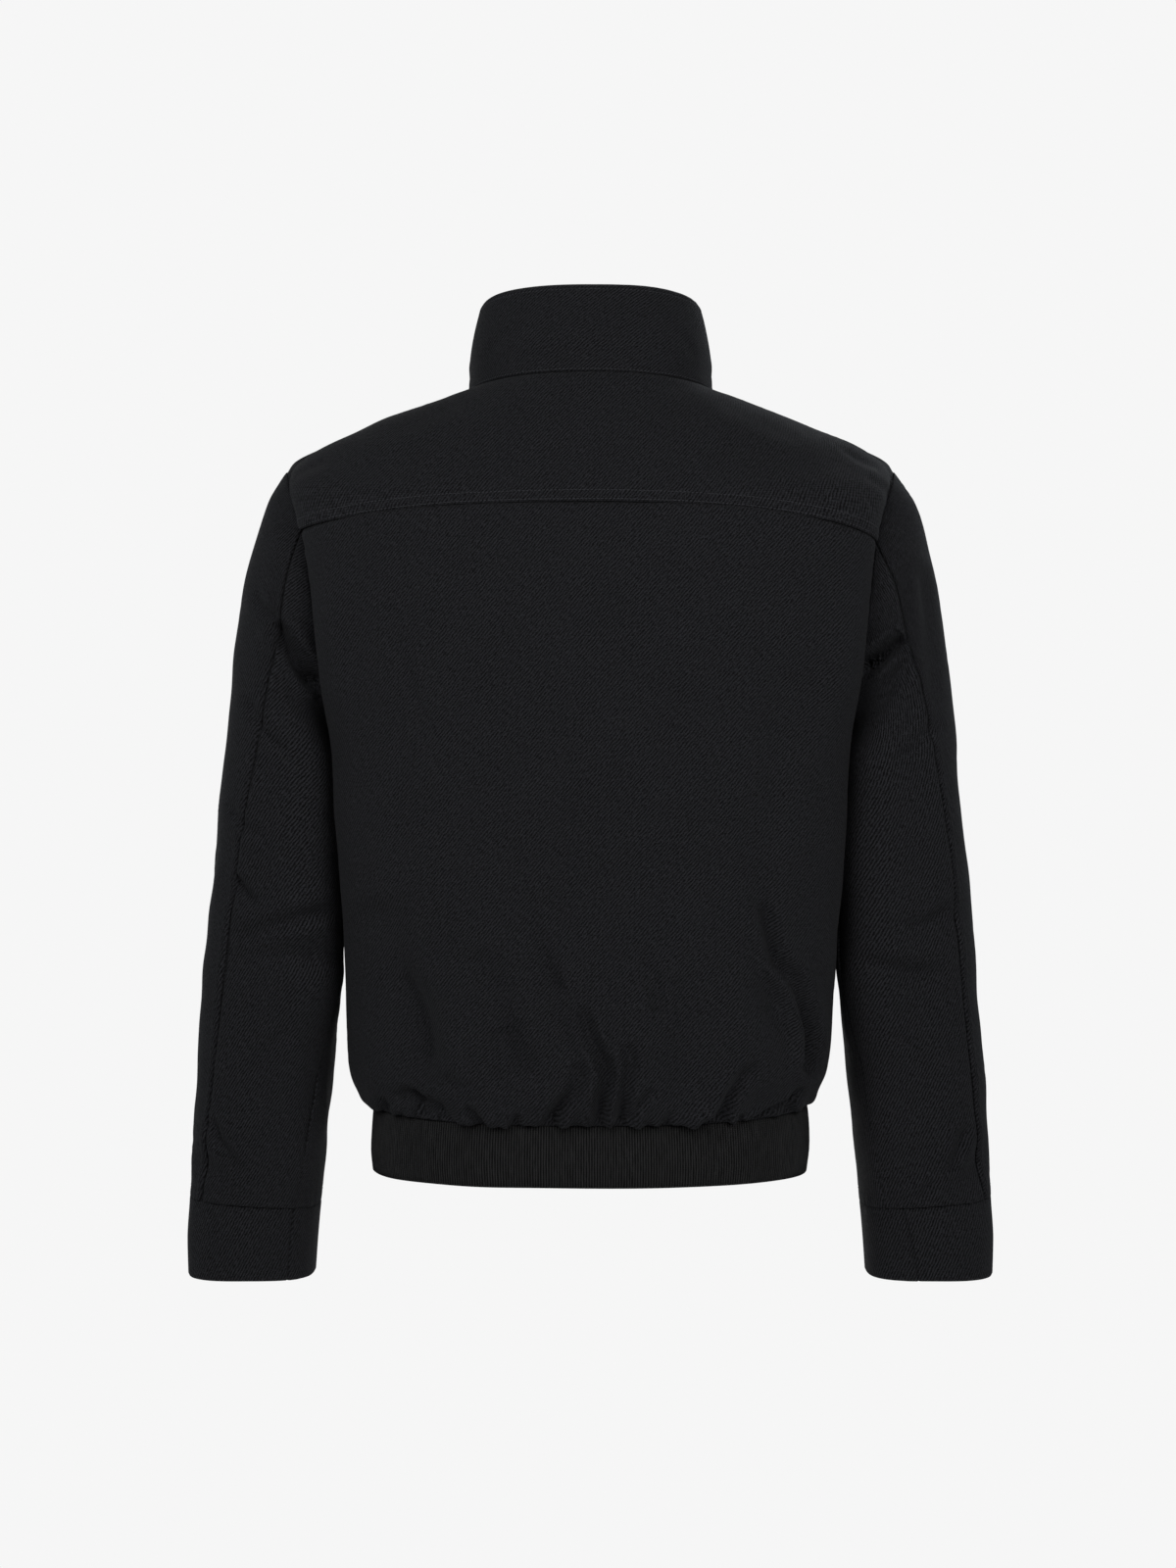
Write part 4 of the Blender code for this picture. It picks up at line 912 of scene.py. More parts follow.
def knit(name, colour):
    """Rib knit: the small V of each stitch on the ridges, which are real."""
    cloth = Shading(name)
    add, times = cloth.add, cloth.times
    place, u, v = cloth.on_cut()
    turn = times(u, 2 * math.pi / RIB_PITCH)
    rib = cloth.node("Math", turn, operation="COSINE")
    vee = cloth.node("Math", cloth.sine(times(turn, 0.5)), operation="ABSOLUTE")
    loop = cloth.sine(times(add(v, times(vee, LOOP_LEAN)), 2 * math.pi / LOOP_PITCH))
    fuzz = cloth.noise(place, 800.0, 9.0, 3.0, 0.75)
    uneven = cloth.noise(cloth.node("CombineXYZ", u, times(v, 0.10)), 700.0, 9.0, 1.0, 0.5)
    height = add(add(times(rib, 4.0), loop), add(fuzz, uneven))
    cloth.coloured(add(times(height, 0.16), 0.5), colour, 0.20, 1.90)
    cloth.bump(height, 0.00018)
    return cloth.finished(Roughness=0.92, Specular_IOR_Level=0.08, Sheen_Weight=0.02, Sheen_Roughness=0.6)


def plain_thread(name, colour):
    twisted = Shading(name)
    _, u, v = twisted.on_cut()
    ply = twisted.sine(twisted.times(twisted.add(u, v), 2 * math.pi / PLY_PITCH))
    twisted.coloured(twisted.add(twisted.times(ply, 0.3), 0.5), colour, 0.7, 1.3)
    return twisted.finished(Roughness=0.7, Specular_IOR_Level=0.12)


def metal(name, colour):
    cast = Shading(name)
    place = cast.node("TexCoord", output="Object")
    worn = cast.node("TexNoise", place, output="Fac", Scale=900.0, Detail=4.0, Roughness=0.65)
    cast.coloured(worn, colour, 0.6, 1.0, (0.35, 0.65))
    cast.links.new(cast.add(cast.times(worn, 0.25), 0.22), cast.shader.inputs["Roughness"])
    cast.bump(worn, 0.00003)
    return cast.finished(Metallic=1.0)


BLACK = (0.0113, 0.0113, 0.0127)
TWILL = 0.0021
twill_body = woven("twill_body", BLACK, math.radians(40), TWILL)
twill_sleeve = {
    side: woven(f"twill_sleeve_{side}", BLACK, math.radians(lean), TWILL, lines=0.9, streaks=1.9)
    for side, lean in (("left", 25), ("right", -32))
}
twill_collar = woven("twill_collar", BLACK, math.radians(48), TWILL)
rib_knit = knit("rib_knit", (0.0164, 0.0162, 0.0164))
tape_weave = woven("tape_weave", (0.012, 0.012, 0.013), 0.0, 0.0012, 0.0001, 0.5, 0.5, 0.5)
thread = plain_thread("thread", (0.042, 0.042, 0.047))
thread_dark = plain_thread("thread_dark", (0.0125, 0.0125, 0.0135))
brass = metal("brass", (0.50, 0.42, 0.28))


# Stitches and seams.

# A stitch's levels. Columns: the share along it, and its lift and its width in threads.
STITCH_LEVELS = ((-0.5, -0.9, 0.35), (-0.28, 0.35, 0.9), (0.28, 0.35, 0.9), (0.5, -0.9, 0.35))


def line_at(panel, edge, distance, start=0.0, end=1.0):
    """The points and normals of a line at a distance from one of a panel's edges, between two
    shares of the edge's length."""
    grids = [getattr(panel, f"from_{edge}"), panel.outer, panel.normal]
    if edge in ("first", "last"):
        grids = [grid.swapaxes(0, 1) for grid in grids]
    if edge in ("high", "last"):
        grids = [grid[::-1] for grid in grids]
    field, outer, normal = grids
    count = field.shape[1]
    points, facing = [], []
    for i in range(int(count * start), math.ceil(count * end)):
        j = min(max(int(np.searchsorted(field[:, i], distance)) - 1, 0), len(field) - 2)
        t = (distance - field[j, i]) / max(field[j + 1, i] - field[j, i], 1e-9)
        points.append(outer[j, i] + (outer[j + 1, i] - outer[j, i]) * t)
        facing.append(normal[j, i])
    return np.array(points), np.array(facing)


def resampled(values, places, gone):
    """A line's values at places along its run."""
    return np.stack([np.interp(places, gone, column) for column in values.T], 1)


def stitches(name, lines, material=thread):
    """Short threads along lines, each sinking into the cloth at its ends."""
    ring = [(math.cos(a), math.sin(a)) for a in np.arange(4) * math.pi / 2 + math.pi / 4]
    points, faces, uvs, count = [], [], [], 0
    for line, facing in lines:
        gone = run_of(line)
        places = np.arange(STITCH_PITCH / 2, gone[-1] - STITCH_PITCH / 2, STITCH_PITCH)
        centre, up = resampled(line, places, gone), unit(resampled(facing, places, gone))
        tip, tail = (resampled(line, places + way * STITCH_LENGTH / 2, gone) for way in (1, -1))
        ahead = unit(tip - tail)
        side = unit(np.cross(ahead, up))
        for along, lift, wide in STITCH_LEVELS:
            for across, high in ring:
                ahead_by, rise = along * STITCH_LENGTH, THREAD * (lift + high * wide * 0.8)
                points.append(centre + ahead * ahead_by + side * across * THREAD * wide + up * rise)
                uvs.append(np.stack((np.full(len(places), across * THREAD), places + ahead_by), 1))
        faces += block_faces(len(STITCH_LEVELS), len(ring), len(places), count)
        count += len(STITCH_LEVELS) * len(ring) * len(places)
    return dressed(mesh_of(name, np.vstack(points), faces, np.vstack(uvs), material))


def under_line(panel, edge, distance, start=0.0, end=1.0):
    """A line just under a panel's inner face, at a distance from one of its edges, and its normals."""
    line, facing = line_at(panel, edge, distance, start, end)
    return line - facing * (panel.thickness + ALLOWANCE / 2), facing


def allowances(name, seams):
    """The sewn edges of the pieces, pressed open inside their seams: a strip over each seam. A seam
    is a panel's edge, with the shares where it starts and ends, and the edges on its other side."""
    points, faces, uvs, count = [], [], [], 0
    for (panel, edge, *part), far_edges in seams:
        lines = [under_line(panel, edge, d, *part) for d in (ALLOWANCE_REACH, ALLOWANCE_NEAR)]
        gone = run_of(lines[1][0])
        many = max(int(gone[-1] / ALLOWANCE_STEP), 8)
        places = np.linspace(0, gone[-1], many)
        lines = [[resampled(values, places, gone) for values in pair] for pair in lines]
        lines = [(line, unit(facing)) for line, facing in lines]
        others = []
        for d in (ALLOWANCE_NEAR, ALLOWANCE_REACH):
            found = [under_line(far, far_edge, d) for far, far_edge in far_edges]
            others.append([np.vstack(parts) for parts in zip(*found)])
        nearest = np.linalg.norm(lines[1][0][:, None] - others[0][0], axis=2).argmin(1)
        lines += [(line[nearest], facing[nearest]) for line, facing in others]
        for depth in (0.0, ALLOWANCE):
            for i, (line, facing) in enumerate(lines):
                points.append(line - facing * depth)
                uvs.append(np.stack((places, np.full(many, i * ALLOWANCE_STEP)), 1))
        grid = np.arange(8 * many).reshape(8, many) + count
        ring = [0, 1, 2, 3, 7, 6, 5, 4]
        for i in range(8):
            p, q = grid[ring[i]], grid[ring[(i + 1) % 8]]
            faces.append(np.stack((p[:-1], q[:-1], q[1:], p[1:]), 1))
        for i in range(3):
            faces.append(grid[[[i, i + 4, i + 5, i + 1]], 0])
            faces.append(grid[[[i, i + 1, i + 5, i + 4]], -1])
        count += 8 * many
    return dressed(mesh_of(name, np.vstack(points), faces, np.vstack(uvs), twill_body))


# The body's panels.


def yoke_row(across):
    """The row at which the yoke's seam runs, at places across the back."""
    end = np.where(across > 0, YOKE_ROW["left"], YOKE_ROW["right"])
    level = YOKE_ROW["middle"] + (end - YOKE_ROW["middle"]) * np.abs(across) ** YOKE_BEND
    return level - YOKE_SAG * np.sin(math.pi * np.abs(across) ** 1.3)


def side_keep(row):
    """The share of half a panel's width that its side keeps from the seam's middle."""
    gap = np.where((row > ARMPIT_ROW) & (row < SHOULDER_ROW), ARMHOLE_GAP, SEAM_GAP)
    return gap / 2 / HALF_BACK


def large_relief(panel, folds):
    """The solid's own large folds on a body panel."""
    fade = smooth(panel.inside / FLAT_SHARE) * smooth(panel.b / FLAT_ROWS)
    return large_folds(folds, panel.x, panel.z) * fade


def back_relief(panel):
    """What runs on from the back panel to the yoke: the folds, the creases and the cloth's life."""
    drawn = crease_relief(BACK_CREASES + BROAD_CREASES + SHOULDER_CREASES, panel.x, panel.z)
    drawn += shared(cloth_life, panel.x, panel.z, 1.3)
    sides = smooth(panel.inside / SIDE_SHARE) * smooth((NECK_ROW - panel.b) / 0.5)
    return large_relief(panel, BACK_FOLDS) + drawn * sides


def eased_places(a, b):
    """How much a body panel is ironed at each point, which is not at all at its seams."""
    amount = sum(much * np.exp(-(((b - row) / reach) ** 2)) for row, reach, much in EASED_ROWS)
    return amount * smooth((1 - np.abs(a)) / SIDE_SHARE)


def shoulder_top(turn):
    return np.clip(np.cos(np.radians(turn - 5)), 0, 1) ** 3


def rounded_shoulder(panel, rows):
    """The shoulder's end stands a little rounder than the solid's, as the sleeve's head does."""
    turn = through(rows, panel.b.ravel())[:, 4].reshape(panel.b.shape)
    above = np.maximum(panel.b - SHOULDER_ROW, 0) * SHOULDER_ROW_LONG
    away = np.hypot(above, panel.inside * HALF_BACK)
    return SHOULDER_ROUND * shoulder_top(turn) * np.exp(-((away / 0.013) ** 2))


def over_hem(panel):
    """The cloth puckers and swells a little over the rib that gathers it."""
    low = panel.from_low
    gathered = puckers(panel.x, low, 0.0125, 0.0010, 0.012) * smooth(low / 0.002)
    return gathered + swell(low, 0.006, 0.0016, 0.006) * tied(low)


BACK_SHARES = np.linspace(-1, 1, odd(320))


def back_part(up, low, high):
    """A panel from one row to another on the jacket's back."""
    b = stretched(up[:, None], low, high)
    a = BACK_SHARES * (1 - side_keep(b))
    return Panel(back_surface, a, b, True, eased=eased_places(a, b))


def back_panel():
    up = even_places(back_surface, 0.4, 0.004, YOKE_ROW["middle"], odd(226), dense_start=1.7)
    seam = yoke_row(BACK_SHARES) - SEAM_GAP / 2 / YOKE_LONG
    panel = back_part(up, SEAM_GAP / 2 / HEM_LONG, seam)
    panel.relief += back_relief(panel) * tied(panel.from_low)
    panel.relief += seam_roll(panel.from_high, 0.0011, 0.0022) + over_hem(panel)
    arm = smooth((panel.b - ARMPIT_ROW) / 0.5)
    for edge in (panel.from_first, panel.from_last):
        panel.relief += seam_roll(edge, 0.0007) + arm * puckers(panel.z, edge, 0.013, 0.0004, 0.010)
    return shell(panel, "back_panel_cloth", "back_panel", twill_body)


def yoke():
    up = even_places(back_surface, 0.3, YOKE_ROW["middle"], NECK_ROW, odd(84))
    seam = yoke_row(BACK_SHARES) + SEAM_GAP / 2 / YOKE_LONG
    panel = back_part(up, seam, NECK_ROW - SEAM_GAP / 2 / NECK_LONG)
    low = panel.from_low
    panel.relief += back_relief(panel) + rounded_shoulder(panel, BACK_ROWS)
    panel.relief += 0.0006 * (1 - smooth((low - 0.008) / 0.004)) + seam_roll(low, 0.0006, 0.0009)
    panel.relief += stitched(low, EDGE_STITCH) + stitched(low, YOKE_SECOND_STITCH)
    panel.relief += puckers(panel.x, np.abs(low - 0.005), 0.0085, 0.00016, 0.005)
    panel.relief += seam_roll(panel.from_high, 0.0006)
    arm = smooth((SHOULDER_ROW + 0.3 - panel.b) / 0.4)
    below = smooth((SHOULDER_ROW - 0.6 - panel.b) / 0.6)
    for edge in (panel.from_first, panel.from_last):
        panel.relief += seam_roll(edge, 0.0006) * (0.2 + 0.8 * below)
        panel.relief += arm * (stitched(edge, ARM_STITCH) + puckers(panel.z, edge, 0.0075, 0.0005, 0.005))
    return shell(panel, "yoke_cloth", "yoke", twill_body)


def front(side):
    lowest, top = SEAM_GAP / 2 / HEM_LONG, NECK_ROW - SEAM_GAP / 2 / FRONT_NECK_LONG
    up = even_places(front_surface, 0.3, lowest, top, odd(200), dense_start=1.5)
    opening = [[share_across(ZIP_OPENING / wide, square)] for *_, wide, square in through(FRONT_ROWS, up)]
    opening, up = np.array(opening), up[:, None]
    a = SIDES[side] * (opening + (1 - side_keep(up) - opening) * np.linspace(0, 1, odd(96)))
    if side == "right":
        a = a[:, ::-1]
    panel = Panel(front_surface, a, up, False, eased=eased_places(a, up))
    zip_side, seam_side = (getattr(panel, f"from_{edge[side]}") for edge in (ZIP_EDGE, SEAM_EDGE))
    zip_fade = smooth((zip_side - 0.002) / 0.012)
    drawn = crease_relief(FRONT_CREASES, panel.x, panel.z) + cloth_life(panel.x, panel.z, 1.2)
    panel.relief += large_relief(panel, FRONT_FOLDS) + drawn * smooth(panel.inside / SIDE_SHARE) * zip_fade
    panel.relief *= tied(panel.from_low, panel.from_high)
    panel.relief += over_hem(panel) * zip_fade + rounded_shoulder(panel, FRONT_ROWS)
    panel.relief += seam_roll(seam_side, 0.0006) + seam_roll(panel.from_high, 0.0006)
    panel.relief += seam_roll(zip_side, 0.0005, 0.0009) + stitched(zip_side, ZIP_STITCH)
    panel.relief += puckers(panel.z, np.abs(zip_side - 0.005), 0.016, 0.0004, 0.008)
    arm = smooth((panel.b - ARMPIT_ROW) / 0.5) * smooth((SHOULDER_ROW + 0.3 - panel.b) / 0.4)
    gathered = puckers(panel.z, seam_side, 0.0085, 0.0005, 0.006)
    panel.relief += arm * (stitched(seam_side, ARM_STITCH) + gathered)
    return shell(panel, f"front_{side}_cloth", f"front_{side}", twill_body)


def collar():
    foot = BACK_ROWS[NECK_ROW][5]
    up = np.linspace(SEAM_GAP / 2 / COLLAR_HEIGHT, 1.0, odd(34))
    width = foot + (COLLAR_TOP["side"][0] - foot) * up
    opening = np.array([[share_across(ZIP_OPENING / wide, COLLAR_SQUARE["front"])] for wide in width])
    a = np.linspace(-1, 1, odd(210)) * (1 - opening * (1 - COLLAR_BACK_SHARE))
    panel = Panel(collar_base, a, up[:, None], True)
    low, high, ends = panel.from_low, panel.from_high, (panel.from_first, panel.from_last)
    panel.relief += cloth_life(panel.u, panel.v, 0.8) * smooth(np.minimum(*ends) / 0.010)
    panel.relief += seam_roll(high, 0.0007, 0.0009) + seam_roll(low, 0.0006, 0.0009)
    panel.relief += stitched(high, COLLAR_STITCH) + stitched(low, EDGE_STITCH)
    panel.relief += 0.0004 * (1 - smooth((low - 0.003) / 0.003))
    for end in ends:
        panel.relief += seam_roll(end, 0.0005, 0.0009) + stitched(end, ZIP_STITCH)
    panel.relief += crease_relief(COLLAR_CREASES, panel.u, panel.v)
    return shell(panel, "collar_cloth", "collar", twill_collar, DOUBLED)


def rib_band():
    """The rib band, whose ribs all run straight up."""
    columns, rows = odd(int(RIB_ROUND / RIB_PITCH) * 5), 11
    reach = 1 - share_across(ZIP_OPENING / HEM_ROWS[0][2], HEM_SQUARE) / 2
    up = np.linspace(0, len(HEM_ROWS) - 1, rows)
    panel = Panel(hem_base, np.linspace(-reach, reach, columns), up[:, None], False)
    panel.relief += 0.0006 * ripples(panel.u, panel.v, 0.045)
    panel.u = np.repeat(panel.u[[rows // 2]], rows, 0)
    ridge = 0.5 + 0.5 * np.cos(2 * math.pi * panel.u / RIB_PITCH)
    edges = smooth(np.minimum(panel.from_low, panel.from_high) / 0.002)
    panel.relief += RIB_HEIGHT * (ridge**0.7 - 1) * (0.35 + 0.65 * edges)
    return shell(panel, "rib_band", "hem_band", rib_knit, DOUBLED)


# The sleeves.


def seam_turns(side, row):
    """The turns at which a sleeve's back seam and its underarm seam run, at each row."""
    table = SLEEVE_SEAMS[side]
    back, under = at_place(table, row).T
    start = through(BACK_ROWS, np.array([yoke_row(SIDES[side])]))[0][4]
    back = back + (start - table[0][1]) * (1 - smooth(row / table[1][0]))
    return back, under


def fullness(turn, z):
    """The sleeve's back stands fuller on the body's side, down to where the two part."""
    around = np.exp(-((half_turn(turn - FULL_TURN) / 34) ** 2))
    return FULLNESS * around * smooth((-0.250 - z) / 0.045) * smooth((z + 0.540) / 0.085)


def sleeve_relief(side, panel):
    """What both parts of a sleeve share: the folds, the creases and the cloth's life."""
    turn, x, z = half_turn(panel.a), np.abs(panel.x), panel.z
    folds = [(*places, 0.0, width, height) for *places, width, height in SLEEVE_FOLDS[side]]
    relief = large_folds(folds, turn, z, SLEEVE_DEGREE) * smooth(panel.b / 0.3)
    for face, way in (("back", 1), ("front", -1)):
        seen = smooth(panel.normal[..., 1] * way * 3 + 0.2)
        relief += crease_relief(SLEEVE_CREASES[side, face], x, z) * seen * tied(panel.from_low)
    ends = smooth(panel.b / 0.5) * smooth((len(SLEEVE_ROWS) - panel.b) / 0.4)
    life = shared(cloth_life, np.sin(np.radians(turn)) * 0.06 + x * 0.7, z, 1.5)
    return relief * tied(panel.from_high) + fullness(turn, z) + life * ends


def sleeve(side):
    """A sleeve's upper and under parts. They meet at the seam behind and at the one underneath."""
    surface = tube_base(side, SLEEVE_ROWS, armhole)
    last = len(SLEEVE_ROWS)
    up = even_places(surface, 60.0, 0, last, odd(286))
    up = stretched(up, ARMHOLE_GAP / 2 / HEAD_LONG, last - CUFF_GAP / 2 / SLEEVE_END_LONG)
    back, under = seam_turns(side, up)
    open_gap, closed_gap = (gap / 2 / SLEEVE_DEGREE for gap in (SLEEVE_SEAM_GAP, SEAM_GAP))
    parts = {}
    for part, start, end, columns, way in (
        ("upper", under - 360 + closed_gap, back - open_gap, odd(140), 1),
        ("under", back + open_gap, under - closed_gap, odd(62), -1),
    ):
        a = start[:, None] + (end - start)[:, None] * denser_ends(columns)
        panel = Panel(surface, a, up[:, None], side == "left")
        head, cuff_end = panel.from_low, panel.from_high
        other, seam = (panel.from_first, panel.from_last)[::way]
        top = shoulder_top(panel.a)
        panel.relief += sleeve_relief(side, panel) + swell(head, 0, SHOULDER_ROUND * top, 0.020)
        panel.relief += seam_roll(head, 0.0008, 0.0018) * (1 - 0.95 * top) + seam_roll(cuff_end, 0.0002)
        panel.relief += seam_roll(seam, 0.0020, 0.0014) + seam_roll(other, 0.0004)
        gathered = shared(puckers, panel.z + seam * 0.7, seam, 0.0108, 0.00065, 0.007)
        ends = smooth((panel.b - 0.6) / 1.5) * smooth((cuff_end - 0.02) / 0.06)
        panel.relief += gathered * smooth(seam / 0.004) * ends
        if part == "upper":
            panel.relief += stitched(seam, SLEEVE_STITCH) + 0.0005 * (1 - smooth((seam - 0.004) / 0.003))
        around = np.radians(panel.a) * 0.055
        panel.relief += puckers(around, cuff_end, 0.011, 0.00055, 0.009) * smooth(seam / 0.012)
        panel.relief += stitched(cuff_end, CUFF_STITCH) + puckers(around, head, 0.012, 0.00035, 0.008)
        name = f"sleeve_{part}_{side}"
        parts[part] = shell(panel, f"{name}_cloth", name, twill_sleeve[side])
    return parts


def cuff(side):
    rows, columns = 31, 320
    b = np.linspace(CUFF_GAP / 2 / CUFF_LONG, 2, rows)[:, None]
    at_top, less = CUFF_SEAM[side]
    t = np.arange(columns) * 2 / columns - 1
    from_seam = 180 * (t - 0.85 * np.sin(np.pi * t) / np.pi)
    surface = tube_base(side, CUFF_ROWS)
    panel = Panel(surface, at_top - b * less + from_seam, b, side == "left", closed=True)
    turn, aside, low = np.radians(panel.a), from_seam * CUFF_DEGREE, panel.from_low
    panel.relief += np.cos(turn * 2) * 0.0006 + np.cos(turn * 5 + 1) * 0.0003
    panel.relief += 0.0004 * smooth(aside / 0.002) * smooth((0.012 - aside) / 0.004)
    panel.relief += seam_roll(aside, 0.0012, 0.0007) + seam_roll(low, 0.0002, 0.0010)
    panel.relief += seam_roll(panel.from_high, 0.0008, 0.0010)
    panel.relief += 0.0003 * np.sin(turn * 24 + np.cos(turn * 3) * 2) * np.exp(-low / 0.006)
    return shell(panel, f"cuff_{side}_cloth", f"cuff_{side}", twill_sleeve[side], DOUBLED)


# The zip.


def zip_line():
    """The points (y, z) of the cloth's outer face along the middle of the front, going up."""
    line = [(-half_depth, z) for z, _, _, half_depth in reversed(HEM_ROWS[1:])]
    line += [(row[0], row[1]) for row in FRONT_ROWS]
    top = collar_base(np.ones(3), np.array([1 / 3, 2 / 3, 1.0]))
    return np.array(line + [(point[1], point[2]) for point in top])


ZIP_LINE = zip_line()


def zip_places(at):
    """(place, up, out) on the tape's outer face at places on the zip's line."""
    here, ahead, behind = (through(ZIP_LINE, at + way) for way in (0, 0.05, -0.05))
    none = np.zeros(len(at))
    up = unit(np.stack((none, ahead[:, 0] - behind[:, 0], ahead[:, 1] - behind[:, 1]), 1))
    out = np.stack((none, -up[:, 2], up[:, 1]), 1)
    return np.stack((none, here[:, 0], here[:, 1]), 1) - out * TAPE_RECESS, up, out


ZIP_FINE = np.linspace(0, len(ZIP_LINE) - 1, 4000)
ZIP_POINTS = zip_places(ZIP_FINE)[0]
ZIP_HEIGHTS, ZIP_RUN = ZIP_POINTS[:, 2], run_of(ZIP_POINTS)


def zip_at_height(z):
    return float(np.interp(z, ZIP_HEIGHTS, ZIP_FINE))


def tape_inner(at):
    """How far from the middle the tape starts, which is more above the slider's throat."""
    foot, top = (zip_at_height(SLIDER_Z + way * SLIDER_LENGTH / 2) for way in (-1, 1))
    return SEAM_GAP / 2 + (TAPE_SPLIT - SEAM_GAP / 2) * smooth((at - foot) / (top - foot) * 2)


def tape(side):
    def surface(x, at):
        place = zip_places(at)[0]
        place[:, 0] += SIDES[side] * x
        return place

    up = even_places(surface, 0.005, zip_at_height(ZIP_FOOT), zip_at_height(ZIP_TOP), odd(360))[:, None]
    inner = tape_inner(up)
    a = inner + (TAPE_REACH - inner) * np.linspace(0, 1, 11)
    panel = Panel(surface, a, up, side == "right")
    panel.relief += swell(panel.from_first, 0.0009, 0.0003, 0.0006)
    panel.relief += swell(panel.from_first, 0.0034, 0.00012, 0.0003)
    return shell(panel, f"zip_tape_{side}_woven", f"zip_tape_{side}", tape_weave, TAPE)


def teeth(side):
    """The metal teeth clamped on a tape's inner edge, half a pitch apart from the other side's."""
    ends = (ZIP_FOOT + TOOTH_FOOT, STOP_Z - STOP_LENGTH / 2 - TOOTH_TOP)
    low, high = (np.interp(z, ZIP_HEIGHTS, ZIP_RUN) for z in ends)
    runs = np.arange(low + (TOOTH_PITCH / 2 if side == "right" else 0), high, TOOTH_PITCH)
    at = np.interp(runs, ZIP_RUN, ZIP_FINE)
    clear = np.abs(zip_places(at)[0][:, 2] - SLIDER_Z) > SLIDER_LENGTH / 2 - TOOTH_HIDDEN
    runs, at = runs[clear], at[clear]
    (place, up, out), start = zip_places(at), tape_inner(at)
    half, waist, tip, root = TOOTH["length"] / 2, TOOTH["waist"], TOOTH["tip"], TOOTH["root"]
    outline = ((root, -half), (root, half), (waist, half))
    outline += ((-tip, half * 0.7), (-tip, -half * 0.7), (waist, -half))
    deep, bevel = TOOTH["half_depth"], TOOTH["bevel"]
    levels = ((-deep, bevel), (-deep + bevel, 0.0), (deep - bevel, 0.0), (deep, bevel))
    points, uvs = [], []
    for lift, shrink in levels:
        for x, rise in outline:
            x, rise = x - math.copysign(shrink, x - root / 3), rise - math.copysign(shrink, rise)
            spot = place + up * rise + out * (lift - TAPE / 2)
            spot[:, 0] += SIDES[side] * (start + x)
            points.append(spot)
            uvs.append(np.stack((start + x, runs + rise), 1))
    faces = block_faces(len(levels), len(outline), len(place))
    if side == "left":
        faces = [group[:, ::-1] for group in faces]
    made = mesh_of(f"zip_teeth_{side}", np.vstack(points), faces, np.vstack(uvs), brass, smooth_faces=False)
    return dressed(made)


def polished(name, body="jacket"):
    """A metal piece of the zip with its edges rounded off."""
    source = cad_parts[name]
    mesh = bmesh.new()
    mesh.from_mesh(source.data)
    mesh.transform(source.matrix_world)
    bmesh.ops.remove_doubles(mesh, verts=mesh.verts, dist=0.000005)
    bmesh.ops.dissolve_limit(mesh, angle_limit=math.radians(3), verts=mesh.verts, edges=mesh.edges)
    sharp = [edge for edge in mesh.edges if len(edge.link_faces) == 2 and edge.calc_face_angle() > 0.7]
    bmesh.ops.bevel(
        mesh, geom=sharp, offset=METAL_BEVEL, segments=3, profile=0.5, affect="EDGES", clamp_overlap=True
    )
    data = bpy.data.meshes.new(f"{name}_polished")
    mesh.to_mesh(data)
    mesh.free()
    data.materials.append(brass)
    data.shade_smooth()
    data.set_sharp_from_angle(angle=math.radians(35))
    return dressed(placed(f"{name}_polished", data), name, body)


# Making it.


def cut(panel, width, length, area, *rests_on, held="hung", sewn=()):
    """Takes what a sheet was cut to, in metres and square metres, and what holds it, and does nothing with
    them.
    """
    flat, sewn = (width, length), list(sewn)


back_grid = back_panel()
yoke_grid = yoke()
fronts = {side: front(side) for side in SIDES}
collar_grid = collar()
rib_grid = rib_band()
sleeves = {side: sleeve(side) for side in SIDES}
cuffs = {side: cuff(side) for side in SIDES}

yoke_stitches = stitches(
    "stitches_yoke",
    [line_at(yoke_grid, "low", distance) for distance in (EDGE_STITCH, YOKE_SECOND_STITCH)]
    + [line_at(yoke_grid, edge, ARM_STITCH, 0.0, 0.62) for edge in ("first", "last")],
)
collar_stitches = stitches(
    "stitches_collar",
    [line_at(collar_grid, "high", COLLAR_STITCH), line_at(collar_grid, "low", EDGE_STITCH)]
    + [line_at(collar_grid, edge, ZIP_STITCH, 0.06, 0.93) for edge in ("first", "last")],
)
front_stitches, sleeve_stitches, sleeve_allowances = {}, {}, {}
for side in SIDES:
    zip_line_at = line_at(fronts[side], ZIP_EDGE[side], ZIP_STITCH, 0.004, 0.998)
    arm_line_at = line_at(fronts[side], SEAM_EDGE[side], ARM_STITCH, 0.60, 0.92)
    front_stitches[side] = stitches(f"stitches_front_{side}", [zip_line_at, arm_line_at])
    lines = [line_at(sleeves[side]["upper"], "last", SLEEVE_STITCH, 0.01, 0.985)]
    lines += [line_at(panel, "high", CUFF_STITCH) for panel in sleeves[side].values()]
    sleeve_stitches[side] = stitches(f"stitches_sleeve_{side}", lines, thread_dark)

# The seams inside. Two shares of the way up a panel's edge: where the side's seam ends at the
# armpit, and where the shoulder's seam starts.
armpit = np.searchsorted(back_grid.b[:, 0], ARMPIT_ROW) / back_grid.rows
shoulder = np.searchsorted(yoke_grid.b[:, 0], SHOULDER_ROW) / yoke_grid.rows
front_grids = list(fronts.values())
body_seams = [
    ((yoke_grid, "low"), [(back_grid, "high")]),
    ((collar_grid, "low"), [(grid, "high") for grid in (yoke_grid, *front_grids)]),
    ((rib_grid, "low"), [(grid, "low") for grid in (back_grid, *front_grids)]),
]
for side, edge in SEAM_EDGE.items():
    body_seams.append(((back_grid, edge, 0.0, armpit), [(fronts[side], edge)]))
    body_seams.append(((yoke_grid, edge, shoulder, 1.0), [(fronts[side], edge)]))
body_allowances = allowances("seam_allowances_body", body_seams)
